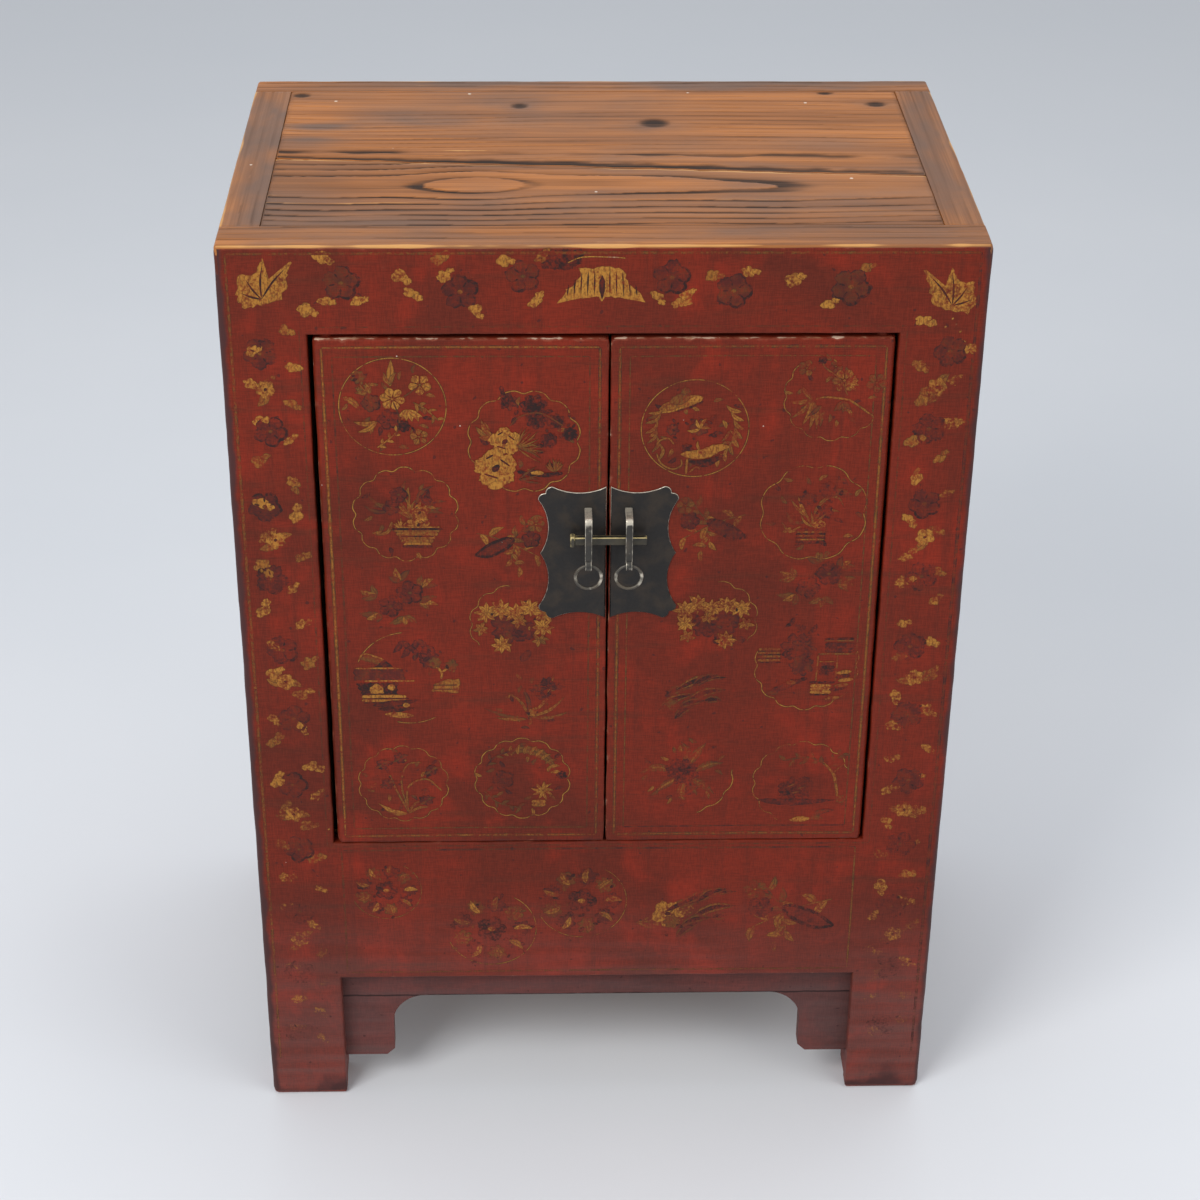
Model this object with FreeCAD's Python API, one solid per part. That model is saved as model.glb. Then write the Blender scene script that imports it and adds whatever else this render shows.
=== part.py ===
import FreeCAD
import Part

import os

# Low lacquered side cabinet with two doors, built as a framed carcass.
# Four corner posts run down into the feet and carry a framed plank top.
# Rails, boards and panels are tenoned or housed into the posts.
# Each door is a flush frame and panel that turns on two wooden pivots, which are
# part of its hinge stile and sit in sockets in the frieze rail and the lower board.
# A cusped lock plate is split between the doors, with a staple and a ring on each half,
# and a flat pin slides through both staples.
#
# Frame: +X to the viewer's right, +Y to the back, +Z up, in millimetres.
# The origin is on the floor, in the middle of the overall box, fittings included.

# Overall size of the carcass
cabinet_width = 600.0
cabinet_depth = 385.0
cabinet_height = 845.0

# Corner posts
post_width = 67.0
post_depth = 44.0
post_corner_round = 5.0
foot_round = 3.0

# Framed top
top_thickness = 26.0
top_front_rail_width = 40.0
top_back_rail_width = 29.0
top_end_width = 32.0
top_edge_round = 4.0
plank_thickness = 18.0
plank_tongue_thickness = 7.0
plank_tongue_length = 8.0
plank_tongue_drop = 7.0
plank_seam_left = 190.0
plank_seam_right = 148.0
plank_seam_gap = 0.4
brace_spacing = 240.0
brace_width = 34.0
brace_height = 20.0

# Front boards between the posts
frieze_height = 48.0
sill_height = 284.0
lower_board_height = 148.0

# Apron and its corner brackets, set back from the front face
apron_setback = 12.0
apron_thickness = 14.0
apron_height = 31.0
bracket_height = 69.0
bracket_width = 46.0
bracket_cove = 30.0
bracket_chamfer = 7.0

# Sides and back
rail_height = 40.0
side_rail_thickness = 24.0
panel_thickness = 10.0
panel_recess = 5.0
groove_depth = 8.0
back_rail_thickness = 20.0
back_board_count = 3
back_tongue_thickness = 4.0
back_tongue_length = 5.0

# Floor and shelf
floor_thickness = 12.0
floor_cleat_height = 14.0
floor_cleat_width = 16.0
shelf_height = 530.0
shelf_thickness = 14.0
bearer_height = 30.0
bearer_width = 22.0
bearer_offset = 7.0
loose_board_gap = 1.0

# Doors
door_thickness = 22.0
door_top_gap = 5.0
door_bottom_gap = 2.0
meeting_line_x = 5.0
meeting_gap = 3.0
hinge_gap_left = 5.0
hinge_gap_right = 3.5
hinge_edge_round = 5.0
door_stile_width = 45.0
door_rail_height = 45.0
door_panel_thickness = 12.0
door_tongue_thickness = 5.0
door_tongue_inset = 4.0
door_tongue_length = 7.0
door_batten_height = 34.0
pivot_inset = 10.0
pivot_radius = 5.5
pivot_clearance = 0.05
pivot_seat_gap = 0.3
upper_pivot_depth = 14.0
lower_pivot_depth = 12.0

# Strips that the closed doors rest against
door_stop_gap = 0.5
door_stop_thickness = 12.0
door_stop_lap = 12.0
door_stop_height = 32.0
door_stop_end_gap = 40.0

# Lock plate, staples, rings and pin
plate_thickness = 1.6
plate_drop = 191.0
plate_half_width = 57.0
plate_half_height = 61.5
plate_waist = 8.0
plate_top_dip = 5.5
plate_lobe = 12.0
plate_meeting_inset = 0.8
staple_offset = 16.5
staple_width = 6.0
staple_strap = 3.0
staple_reach = 22.0
staple_upper_rise = 41.0
staple_lower_rise = 12.0
staple_bend_round = 4.0
staple_clinch = 12.0
staple_hole_gap = 0.3
eye_radius = 4.5
eye_bore = 2.2
ring_radius = 10.6
ring_wire_radius = 1.4
ring_sink = 0.3
pin_length = 62.5
pin_thickness = 5.0
pin_height = 7.0
pin_head_length = 4.0
pin_head_extra = 1.2
pin_seat_gap = 0.3

# Joinery
fit_gap = 0.2
tenon_length = 16.0
tenon_thickness = 8.0
tenon_shoulder = 6.0
stub_tenon_length = 12.0
end_tenon_thickness = 10.0
end_tenon_shoulder = 9.0
post_tenon_length = 13.0
post_tenon_edge = 8.5
root_overlap = 1.0

SIDES = {"left": -1, "right": 1}

# Levels and faces that follow from the sizes above
hardware_reach = plate_thickness + staple_reach + eye_radius - staple_strap / 2
half_width = cabinet_width / 2
front_y = -(cabinet_depth - hardware_reach) / 2
back_y = front_y + cabinet_depth
top_under_z = cabinet_height - top_thickness
post_inner_x = half_width - post_width
front_post_back_y = front_y + post_depth
back_post_front_y = back_y - post_depth
top_inner_x = half_width - top_end_width
top_inner_front_y = front_y + top_front_rail_width
top_inner_back_y = back_y - top_back_rail_width
plank_under_z = cabinet_height - plank_thickness
head_z = top_under_z - frieze_height
board_thickness = door_thickness + door_stop_gap
board_back_y = front_y + board_thickness
base_z = sill_height - lower_board_height
apron_front_y = front_y + apron_setback
apron_under_z = base_z - apron_height
side_rail_inner_x = half_width - side_rail_thickness
panel_outer_x = half_width - panel_recess
panel_inner_x = panel_outer_x - panel_thickness
back_panel_back_y = back_y - panel_recess
back_panel_front_y = back_panel_back_y - panel_thickness
back_rail_front_y = back_y - back_rail_thickness
floor_under_z = base_z + floor_cleat_height
floor_top_z = floor_under_z + floor_thickness
shelf_under_z = shelf_height - shelf_thickness
door_back_y = front_y + door_thickness
door_low_z = sill_height + door_bottom_gap
door_high_z = head_z - door_top_gap
pivot_y = front_y + pivot_inset
hinge_gaps = {"left": hinge_gap_left, "right": hinge_gap_right}
plate_front_y = front_y - plate_thickness
plate_centre_z = door_high_z - plate_drop
strap_front_y = plate_front_y - staple_reach
strap_back_y = strap_front_y + staple_strap
eye_y = strap_front_y + staple_strap / 2
eye_z = plate_centre_z
pin_low_z = plate_centre_z + staple_lower_rise + staple_strap / 2 + pin_seat_gap
pin_y = (plate_front_y + strap_back_y) / 2


class Block:
    """An axis-aligned box, given by its limits along X, Y and Z."""

    def __init__(self, x, y, z):
        self.limits = [sorted(x), sorted(y), sorted(z)]

    def grown(self, gap):
        """The same box with every face moved out by gap."""
        return Block(*[(low - gap, high + gap) for low, high in self.limits])

    def solid(self):
        """The box as a solid."""
        sizes = [high - low for low, high in self.limits]
        corner = FreeCAD.Vector(*[low for low, _ in self.limits])
        return Part.makeBox(*sizes, corner)


def middle(edge):
    """The point halfway along an edge."""
    return edge.valueAt((edge.FirstParameter + edge.LastParameter) / 2)


def near(value, target):
    """True where two lengths agree to a hundredth of a millimetre."""
    return abs(value - target) < 0.01


def rounded(shape, radius, pick):
    """The shape with the edges rounded whose middle point satisfies pick."""
    return shape.makeFillet(radius, [edge for edge in shape.Edges if pick(middle(edge))])


def prism(points, start, along):
    """A closed polygon of (first, second) pairs, carried along a vector."""
    corners = [start(first, second) for first, second in points]
    return Part.Face(Part.makePolygon(corners + corners[:1])).extrude(along)


def join(parts, owner, sockets, block, slack=fit_gap):
    """Adds a tenon or tongue to its owner and cuts the socket for it, with its clearance."""
    parts[owner] = parts[owner].fuse(block.solid()).removeSplitter()
    house(parts, sockets, block, slack)


def house(parts, sockets, block, slack=fit_gap):
    """Cuts the groove or socket that a block sits in, with its clearance."""
    for socket in sockets:
        parts[socket] = parts[socket].cut(block.grown(slack).solid())


def tenon_span(start, way, length):
    """Limits of a tenon that leaves a shoulder at start, rooted a little in its owner."""
    return (start - way * root_overlap, start + way * length)


def centred(low, high, size):
    """Limits of the given size, centred between low and high."""
    middle_value = (low + high) / 2
    return (middle_value - size / 2, middle_value + size / 2)


def make_posts(parts):
    """Corner posts, each with its foot, rounded on the outer corner and round the foot."""
    depths = {"front": (front_y, front_post_back_y), "back": (back_post_front_y, back_y)}
    outer = {"front": front_y, "back": back_y}
    for place, y_limits in depths.items():
        for side_name, side in SIDES.items():
            post = Block((side * post_inner_x, side * half_width), y_limits, (0, top_under_z)).solid()
            post = rounded(
                post,
                post_corner_round,
                lambda p: near(p.x, side * half_width) and near(p.y, outer[place]),
            )
            parts[f"post_{place}_{side_name}"] = rounded(post, foot_round, lambda p: near(p.z, 0))


def make_top_frame(parts):
    """Long rails and end pieces of the top, with the tenons that hold them and the posts."""
    rails = {
        "front": (front_y, top_inner_front_y, 1),
        "back": (back_y, top_inner_back_y, -1),
    }
    for place, (outer_y, inner_y, _) in rails.items():
        rail = Block(
            (-half_width, half_width), (outer_y, inner_y), (top_under_z, cabinet_height)
        ).solid()
        rail = rounded(
            rail, post_corner_round, lambda p: near(abs(p.x), half_width) and near(p.y, outer_y)
        )
        parts[f"top_rail_{place}"] = rounded(
            rail, top_edge_round, lambda p: near(p.z, cabinet_height) and not near(p.y, inner_y)
        )
    for side_name, side in SIDES.items():
        end = Block(
            (side * top_inner_x, side * half_width),
            (top_inner_front_y, top_inner_back_y),
            (top_under_z, cabinet_height),
        ).solid()
        end_name = f"top_end_{side_name}"
        parts[end_name] = rounded(
            end,
            top_edge_round,
            lambda p: near(p.z, cabinet_height) and near(abs(p.x), half_width),
        )
        for place, (outer_y, inner_y, inward) in rails.items():
            end_tenon = Block(
                (side * (top_inner_x + end_tenon_shoulder), side * (half_width - tenon_shoulder)),
                tenon_span(inner_y, -inward, stub_tenon_length),
                centred(top_under_z, cabinet_height, end_tenon_thickness),
            )
            join(parts, end_name, [f"top_rail_{place}"], end_tenon)
            post_tenon = Block(
                (side * (post_inner_x + 2 * tenon_shoulder), side * top_inner_x),
                (outer_y + inward * post_tenon_edge,
                 outer_y + inward * (post_tenon_edge + tenon_thickness)),
                tenon_span(top_under_z, 1, post_tenon_length),
            )
            join(parts, f"post_{place}_{side_name}", [f"top_rail_{place}"], post_tenon)


def make_top_planks(parts):
    """Two planks that meet at a slanting seam, tongued into the frame, on two cross braces."""
    inner_x = top_inner_x - fit_gap
    outer_x = top_inner_x + plank_tongue_length
    tongue_high_z = cabinet_height - plank_tongue_drop
    tongue_low_z = tongue_high_z - plank_tongue_thickness
    seam_slope = (plank_seam_right - plank_seam_left) / (2 * inner_x)
    edges = {
        "front": (top_inner_front_y, 1),
        "back": (top_inner_back_y, -1),
    }
    for place, (frame_y, inward) in edges.items():

        def outline(reach_x, frame_edge_y):
            """Plan of a plank that reaches to reach_x at its ends and to frame_edge_y."""
            seams = [
                front_y + plank_seam_left + seam_slope * (x + inner_x) - inward * plank_seam_gap / 2
                for x in (-reach_x, reach_x)
            ]
            return [
                (-reach_x, frame_edge_y), (reach_x, frame_edge_y),
                (reach_x, seams[1]), (-reach_x, seams[0]),
            ]

        body = prism(
            outline(inner_x, frame_y + inward * fit_gap),
            lambda x, y: FreeCAD.Vector(x, y, plank_under_z),
            FreeCAD.Vector(0, 0, plank_thickness),
        )
        tongue = prism(
            outline(outer_x, frame_y - inward * plank_tongue_length),
            lambda x, y: FreeCAD.Vector(x, y, tongue_low_z),
            FreeCAD.Vector(0, 0, plank_tongue_thickness),
        )
        parts[f"top_plank_{place}"] = body.fuse(tongue).removeSplitter()
    tongues = Block(
        (-outer_x, outer_x),
        (top_inner_front_y - plank_tongue_length, top_inner_back_y + plank_tongue_length),
        (tongue_low_z, tongue_high_z),
    )
    house(parts, ["top_rail_front", "top_rail_back", "top_end_left", "top_end_right"], tongues)
    for side_name, side in SIDES.items():
        name = f"top_brace_{side_name}"
        x_limits = [side * x for x in centred(0, brace_spacing, brace_width)]
        parts[name] = Block(
            x_limits,
            (top_inner_front_y, top_inner_back_y),
            (plank_under_z - brace_height, plank_under_z),
        ).solid()
        low, high = sorted(x_limits)
        for place, (frame_y, inward) in edges.items():
            brace_tenon = Block(
                (low + tenon_shoulder, high - tenon_shoulder),
                tenon_span(frame_y, -inward, stub_tenon_length),
                centred(top_under_z, plank_under_z, (plank_under_z - top_under_z) / 2),
            )
            join(parts, name, [f"top_rail_{place}"], brace_tenon)


def cross_rail(parts, name, place, y_limits, z_limits):
    """A rail or board between the two posts of the front or the back, tenoned into both."""
    parts[name] = Block((-post_inner_x, post_inner_x), y_limits, z_limits).solid()
    low_z, high_z = sorted(z_limits)
    for side_name, side in SIDES.items():
        tenon = Block(
            tenon_span(side * post_inner_x, side, tenon_length),
            centred(*y_limits, tenon_thickness),
            (low_z + tenon_shoulder, high_z - tenon_shoulder),
        )
        join(parts, name, [f"post_{place}_{side_name}"], tenon)


def side_rail(parts, name, side_name, x_limits, z_limits):
    """A rail between the front and back post of one side, tenoned into both."""
    parts[name] = Block(x_limits, (front_post_back_y, back_post_front_y), z_limits).solid()
    low_z, high_z = sorted(z_limits)
    ends = {"front": (front_post_back_y, -1), "back": (back_post_front_y, 1)}
    for place, (end_y, way) in ends.items():
        tenon = Block(
            centred(*x_limits, tenon_thickness),
            tenon_span(end_y, way, stub_tenon_length),
            (low_z + tenon_shoulder, high_z - tenon_shoulder),
        )
        join(parts, name, [f"post_{place}_{side_name}"], tenon)


def make_front(parts):
    """Frieze rail, lower board, apron with its brackets, and the strips behind the doors."""
    cross_rail(parts, "frieze_rail", "front", (front_y, board_back_y), (head_z, top_under_z))
    cross_rail(parts, "lower_board", "front", (front_y, board_back_y), (base_z, sill_height))
    apron_y = (apron_front_y, apron_front_y + apron_thickness)
    cross_rail(parts, "apron", "front", apron_y, (apron_under_z, base_z))
    for side_name, side in SIDES.items():
        make_bracket(parts, side_name, side, apron_y)
    stop_x = post_inner_x - door_stop_end_gap
    levels = {"upper": (head_z - door_stop_lap, 1), "lower": (sill_height + door_stop_lap, -1)}
    for place, (edge_z, way) in levels.items():
        parts[f"door_stop_{place}"] = Block(
            (-stop_x, stop_x),
            (board_back_y, board_back_y + door_stop_thickness),
            (edge_z, edge_z + way * door_stop_height),
        ).solid()


def make_bracket(parts, side_name, side, y_limits):
    """A bracket under the apron: a cove at the top, then a straight edge with its corner cut off."""
    name = f"bracket_{side_name}"
    inner_x = post_inner_x - bracket_width
    low_z = apron_under_z - bracket_height
    cove_z = apron_under_z - bracket_cove

    def point(x, z):
        return FreeCAD.Vector(side * x, y_limits[0], z)

    half = 0.5 ** 0.5
    straight = [
        (inner_x - bracket_cove, apron_under_z), (post_inner_x, apron_under_z),
        (post_inner_x, low_z), (inner_x + bracket_chamfer, low_z),
        (inner_x, low_z + bracket_chamfer), (inner_x, cove_z),
    ]
    cove = Part.Arc(
        point(inner_x, cove_z),
        point(inner_x - bracket_cove * (1 - half), cove_z + bracket_cove * half),
        point(inner_x - bracket_cove, apron_under_z),
    )
    wire = Part.Wire(
        Part.makePolygon([point(x, z) for x, z in straight]).Edges + [cove.toShape()]
    )
    parts[name] = Part.Face(wire).extrude(FreeCAD.Vector(0, apron_thickness, 0))
    tenon = Block(
        tenon_span(side * post_inner_x, side, stub_tenon_length),
        centred(*y_limits, tenon_thickness),
        (low_z + bracket_chamfer, apron_under_z - tenon_shoulder),
    )
    join(parts, name, [f"post_front_{side_name}"], tenon)


def make_sides(parts):
    """Bottom rails and recessed panels of the two sides."""
    for side_name, side in SIDES.items():
        rail_name = f"side_rail_{side_name}"
        side_rail(
            parts, rail_name, side_name,
            (side * side_rail_inner_x, side * half_width), (base_z, base_z + rail_height),
        )
        panel = Block(
            (side * panel_inner_x, side * panel_outer_x),
            (front_post_back_y - groove_depth, back_post_front_y + groove_depth),
            (base_z + rail_height - groove_depth, top_under_z + groove_depth),
        )
        parts[f"side_panel_{side_name}"] = panel.solid()
        posts = [f"post_front_{side_name}", f"post_back_{side_name}"]
        tops = [f"top_end_{side_name}", "top_rail_front", "top_rail_back"]
        house(parts, [rail_name] + posts + tops, panel)


def make_back(parts):
    """Bottom rail and the boards of the back, tongued together and housed in the posts."""
    cross_rail(
        parts, "back_rail", "back",
        (back_rail_front_y, back_y), (base_z, base_z + rail_height),
    )
    low_z = base_z + rail_height - groove_depth
    high_z = top_under_z + groove_depth
    board_height = (high_z - low_z) / back_board_count
    board_x = (-post_inner_x - groove_depth, post_inner_x + groove_depth)
    board_y = (back_panel_front_y, back_panel_back_y)
    names = [f"back_board_{number + 1}" for number in range(back_board_count)]
    for number, name in enumerate(names):
        board_low_z = low_z + number * board_height
        parts[name] = Block(board_x, board_y, (board_low_z, board_low_z + board_height)).solid()
    for number in range(back_board_count - 1):
        seam_z = low_z + (number + 1) * board_height
        tongue = Block(
            board_x,
            centred(*board_y, back_tongue_thickness),
            tenon_span(seam_z, 1, back_tongue_length),
        )
        join(parts, names[number], [names[number + 1]], tongue)
    whole = Block(board_x, board_y, (low_z, high_z))
    house(parts, ["back_rail", "post_back_left", "post_back_right", "top_rail_back"], whole)


def make_inside(parts):
    """Floor boards on cleats, and shelf boards on bearers between the posts."""
    for side_name, side in SIDES.items():
        parts[f"floor_cleat_{side_name}"] = Block(
            (side * (side_rail_inner_x - floor_cleat_width), side * side_rail_inner_x),
            (front_post_back_y, back_post_front_y),
            (base_z, floor_under_z),
        ).solid()
        bearer_outer_x = post_inner_x + bearer_offset + bearer_width
        side_rail(
            parts, f"shelf_bearer_{side_name}", side_name,
            (side * (post_inner_x + bearer_offset), side * bearer_outer_x),
            (shelf_under_z - bearer_height, shelf_under_z),
        )
    floor_x = side_rail_inner_x - loose_board_gap
    shelf_x = panel_inner_x - loose_board_gap
    two_boards(
        parts, "floor_board", floor_x, (board_back_y, back_rail_front_y), (floor_under_z, floor_top_z)
    )
    two_boards(
        parts, "shelf_board", shelf_x,
        (front_post_back_y, back_post_front_y), (shelf_under_z, shelf_height),
    )
    for side in SIDES.values():
        post_x = (side * post_inner_x, side * half_width)
        floor_z = (floor_under_z, floor_top_z)
        corners = {"front": (front_y, front_post_back_y), "back": (back_post_front_y, back_y)}
        for place, post_y in corners.items():
            house(parts, [f"floor_board_{place}"], Block(post_x, post_y, floor_z), loose_board_gap)


def two_boards(parts, name, half_length, y_limits, z_limits):
    """A front and a back board that lie side by side with a small gap all round."""
    low_y, high_y = y_limits
    seam_y = (low_y + high_y) / 2
    spans = {"front": (low_y, seam_y), "back": (seam_y, high_y)}
    for place, (start_y, end_y) in spans.items():
        parts[f"{name}_{place}"] = Block(
            (-half_length, half_length),
            (start_y + loose_board_gap / 2, end_y - loose_board_gap / 2),
            z_limits,
        ).solid()


def cylinder(radius, x, y, low_z, high_z):
    """An upright cylinder between two heights."""
    return Part.makeCylinder(radius, high_z - low_z, FreeCAD.Vector(x, y, low_z))


def make_door(parts, side_name, side):
    """A flush framed door. Its hinge stile has the pivots, its lock stile the staple's slots."""
    inward = -side
    hinge_x = side * (post_inner_x - hinge_gaps[side_name])
    free_x = meeting_line_x + side * meeting_gap / 2
    hinge_inner_x = hinge_x + inward * door_stile_width
    lock_inner_x = free_x - inward * door_stile_width
    depth = (front_y, door_back_y)
    height = (door_low_z, door_high_z)
    prefix = f"door_{side_name}"
    hinge_stile = Block((hinge_x, hinge_inner_x), depth, height).solid()
    parts[f"{prefix}_hinge_stile"] = rounded(
        hinge_stile, hinge_edge_round, lambda p: near(p.x, hinge_x) and near(p.y, front_y)
    )
    parts[f"{prefix}_lock_stile"] = Block((lock_inner_x, free_x), depth, height).solid()
    rails = {
        "lower": (door_low_z, door_low_z + door_rail_height),
        "upper": (door_high_z, door_high_z - door_rail_height),
    }
    tenon_inner = door_tongue_length + tenon_shoulder / 2
    for place, (outer_z, inner_z) in rails.items():
        name = f"{prefix}_{place}_rail"
        parts[name] = Block((hinge_inner_x, lock_inner_x), depth, (outer_z, inner_z)).solid()
        way = 1 if inner_z > outer_z else -1
        tenon_z = (outer_z + way * tenon_shoulder, inner_z - way * tenon_inner)
        tenon_y = centred(*depth, tenon_thickness)
        door_tenons(parts, name, prefix, hinge_inner_x, lock_inner_x, tenon_y, tenon_z)
    make_door_panel(parts, prefix, (hinge_inner_x, lock_inner_x))
    batten_y = (front_y + door_panel_thickness, door_back_y)
    batten_z = centred(door_low_z, door_high_z, door_batten_height)
    batten = f"{prefix}_batten"
    parts[batten] = Block((hinge_inner_x, lock_inner_x), batten_y, batten_z).solid()
    tenon_z = (batten_z[0] + tenon_shoulder, batten_z[1] - tenon_shoulder)
    tenon_y = centred(*batten_y, (door_thickness - door_panel_thickness) / 2)
    door_tenons(parts, batten, prefix, hinge_inner_x, lock_inner_x, tenon_y, tenon_z)
    make_pivots(parts, prefix, hinge_x + inward * pivot_inset)


def door_tenons(parts, name, prefix, hinge_inner_x, lock_inner_x, tenon_y, tenon_z):
    """Tenons at both ends of a door rail or batten, into the two stiles."""
    way = 1 if lock_inner_x > hinge_inner_x else -1
    ends = {"hinge": (hinge_inner_x, -way), "lock": (lock_inner_x, way)}
    for stile, (end_x, direction) in ends.items():
        tenon = Block(tenon_span(end_x, direction, stub_tenon_length), tenon_y, tenon_z)
        join(parts, name, [f"{prefix}_{stile}_stile"], tenon)


def make_door_panel(parts, prefix, x_limits):
    """The door's panel, flush with its frame in front and tongued into it all round."""
    inner = Block(
        x_limits,
        (front_y, front_y + door_panel_thickness),
        (door_low_z + door_rail_height, door_high_z - door_rail_height),
    )
    (low_x, high_x), _, (low_z, high_z) = inner.limits
    body = Block(
        (low_x + fit_gap, high_x - fit_gap),
        (front_y, front_y + door_panel_thickness),
        (low_z + fit_gap, high_z - fit_gap),
    )
    parts[f"{prefix}_panel"] = body.solid()
    tongue_front_y = front_y + door_tongue_inset
    tongue = Block(
        (low_x - door_tongue_length, high_x + door_tongue_length),
        (tongue_front_y, tongue_front_y + door_tongue_thickness),
        (low_z - door_tongue_length, high_z + door_tongue_length),
    )
    frame = ["hinge_stile", "lock_stile", "lower_rail", "upper_rail"]
    join(parts, f"{prefix}_panel", [f"{prefix}_{member}" for member in frame], tongue)


def make_pivots(parts, prefix, pivot_x):
    """Round pivots on the hinge stile, and their sockets in the frieze rail and lower board."""
    upper_end_z = head_z + upper_pivot_depth
    lower_end_z = sill_height - lower_pivot_depth
    stile = f"{prefix}_hinge_stile"
    pivots = cylinder(pivot_radius, pivot_x, pivot_y, lower_end_z, upper_end_z)
    parts[stile] = parts[stile].fuse(pivots).removeSplitter()
    bore = pivot_radius + pivot_clearance
    upper_socket = cylinder(bore, pivot_x, pivot_y, head_z - root_overlap, upper_end_z + pivot_seat_gap)
    lower_socket = cylinder(bore, pivot_x, pivot_y, lower_end_z - pivot_seat_gap, sill_height + root_overlap)
    parts["frieze_rail"] = parts["frieze_rail"].cut(upper_socket)
    parts["lower_board"] = parts["lower_board"].cut(lower_socket)


def plate_outline(side):
    """Half of the cusped plate: a straight meeting edge, dips, lobed corners and a pointed waist."""
    near_u = meeting_gap / 2 + plate_meeting_inset
    corner_u = plate_half_width - plate_lobe
    corner_v = plate_half_height - plate_lobe
    notch_u = plate_half_width - plate_lobe / 2
    notch_v = plate_half_height - plate_lobe / 2
    lobe_rise = plate_lobe / 2

    def point(u, v):
        return FreeCAD.Vector(meeting_line_x + side * u, front_y, plate_centre_z + v)

    def half_edges(up):
        """Arcs from the meeting edge to the pointed waist, for the upper or lower half."""
        stations = [
            (near_u, plate_half_height),
            ((near_u + corner_u) / 2, plate_half_height - plate_top_dip),
            (corner_u, plate_half_height),
            (notch_u - lobe_rise / 4, plate_half_height - lobe_rise / 4),
            (notch_u, notch_v),
            (plate_half_width - lobe_rise / 4, notch_v - lobe_rise / 4),
            (plate_half_width, corner_v),
            (plate_half_width - plate_waist, corner_v / 2),
            (plate_half_width - plate_waist / 6, 0),
        ]
        points = [point(u, up * v) for u, v in stations]
        return [Part.Arc(*points[i:i + 3]).toShape() for i in (0, 2, 4, 6)]

    meeting_edge = Part.LineSegment(
        point(near_u, -plate_half_height), point(near_u, plate_half_height)
    ).toShape()
    edges = half_edges(1) + half_edges(-1) + [meeting_edge]
    return Part.Face(Part.Wire(Part.__sortEdges__(edges)))


def make_lock(parts, side_name, side):
    """Half of the lock plate with its staple, which is clinched behind the door, and its ring."""
    plate = f"lock_plate_{side_name}"
    staple = f"staple_{side_name}"
    parts[plate] = plate_outline(side).extrude(FreeCAD.Vector(0, -plate_thickness, 0))
    centre_x = meeting_line_x + side * staple_offset
    across = [centre_x - staple_width / 2, centre_x + staple_width / 2]
    half_strap = staple_strap / 2
    upper_z = plate_centre_z + staple_upper_rise
    lower_z = plate_centre_z + staple_lower_rise
    clinch_y = (door_back_y, door_back_y + staple_strap)
    legs_y = (strap_front_y, clinch_y[1])
    upper_leg = Block(across, legs_y, (upper_z - half_strap, upper_z + half_strap))
    lower_leg = Block(across, (strap_back_y, clinch_y[1]), (lower_z - half_strap, lower_z + half_strap))
    strap = Block(across, (strap_front_y, strap_back_y), (eye_z, upper_z + half_strap)).solid()
    strap = strap.fuse(upper_leg.solid()).removeSplitter()
    strap = rounded(
        strap, staple_bend_round,
        lambda p: near(p.y, strap_front_y) and near(p.z, upper_z + half_strap),
    )
    clinches = [
        Block(across, clinch_y, (upper_z - half_strap, upper_z + staple_clinch)),
        Block(across, clinch_y, (lower_z + half_strap, lower_z - staple_clinch)),
    ]
    along_x = FreeCAD.Vector(1, 0, 0)
    eye_start = FreeCAD.Vector(across[0], eye_y, eye_z)
    eye = Part.makeCylinder(eye_radius, staple_width, eye_start, along_x)
    solids = [lower_leg.solid(), eye] + [clinch.solid() for clinch in clinches]
    bore = Part.makeCylinder(eye_bore, staple_width, eye_start, along_x)
    parts[staple] = strap.multiFuse(solids).removeSplitter().cut(bore)
    for leg in (upper_leg, lower_leg):
        house(parts, [plate, f"door_{side_name}_lock_stile"], leg, staple_hole_gap)
    ring_centre = FreeCAD.Vector(centre_x, eye_y, eye_z - ring_sink - ring_radius)
    parts[f"ring_{side_name}"] = Part.makeTorus(
        ring_radius, ring_wire_radius, ring_centre, FreeCAD.Vector(0, 1, 0)
    )


def make_pin(parts):
    """Flat pin through both staples, with a small head at its left end."""
    low_x, high_x = centred(meeting_line_x, meeting_line_x, pin_length)
    pin_z = (pin_low_z, pin_low_z + pin_height)
    shank = Block((low_x, high_x), centred(pin_y, pin_y, pin_thickness), pin_z)
    head = Block(
        (low_x, low_x + pin_head_length),
        centred(pin_y, pin_y, pin_thickness + 2 * pin_head_extra),
        (pin_z[0] - pin_head_extra, pin_z[1] + pin_head_extra),
    )
    parts["lock_pin"] = shank.solid().fuse(head.solid()).removeSplitter()


def build():
    """All pieces by name, each one solid."""
    parts = {}
    make_posts(parts)
    make_top_frame(parts)
    make_top_planks(parts)
    make_front(parts)
    make_sides(parts)
    make_back(parts)
    make_inside(parts)
    for side_name, side in SIDES.items():
        make_door(parts, side_name, side)
        make_lock(parts, side_name, side)
    make_pin(parts)
    return parts


def export(parts):
    """Writes each piece to its own file and reports any that isn't one valid solid."""
    os.makedirs("parts", exist_ok=True)
    for name, shape in parts.items():
        if len(shape.Solids) != 1 or not shape.isValid():
            print(f"{name}: {len(shape.Solids)} solids, valid {shape.isValid()}")
        shape.Solids[0].exportStep(f"parts/{name}.step")
    print(f"{len(parts)} pieces")


if __name__ == "__main__":
    export(build())
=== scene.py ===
import logging
import math
from collections.abc import Callable
from dataclasses import dataclass, field
from enum import Enum

import bpy
import numpy as np
from mathutils import Matrix, Vector


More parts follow.
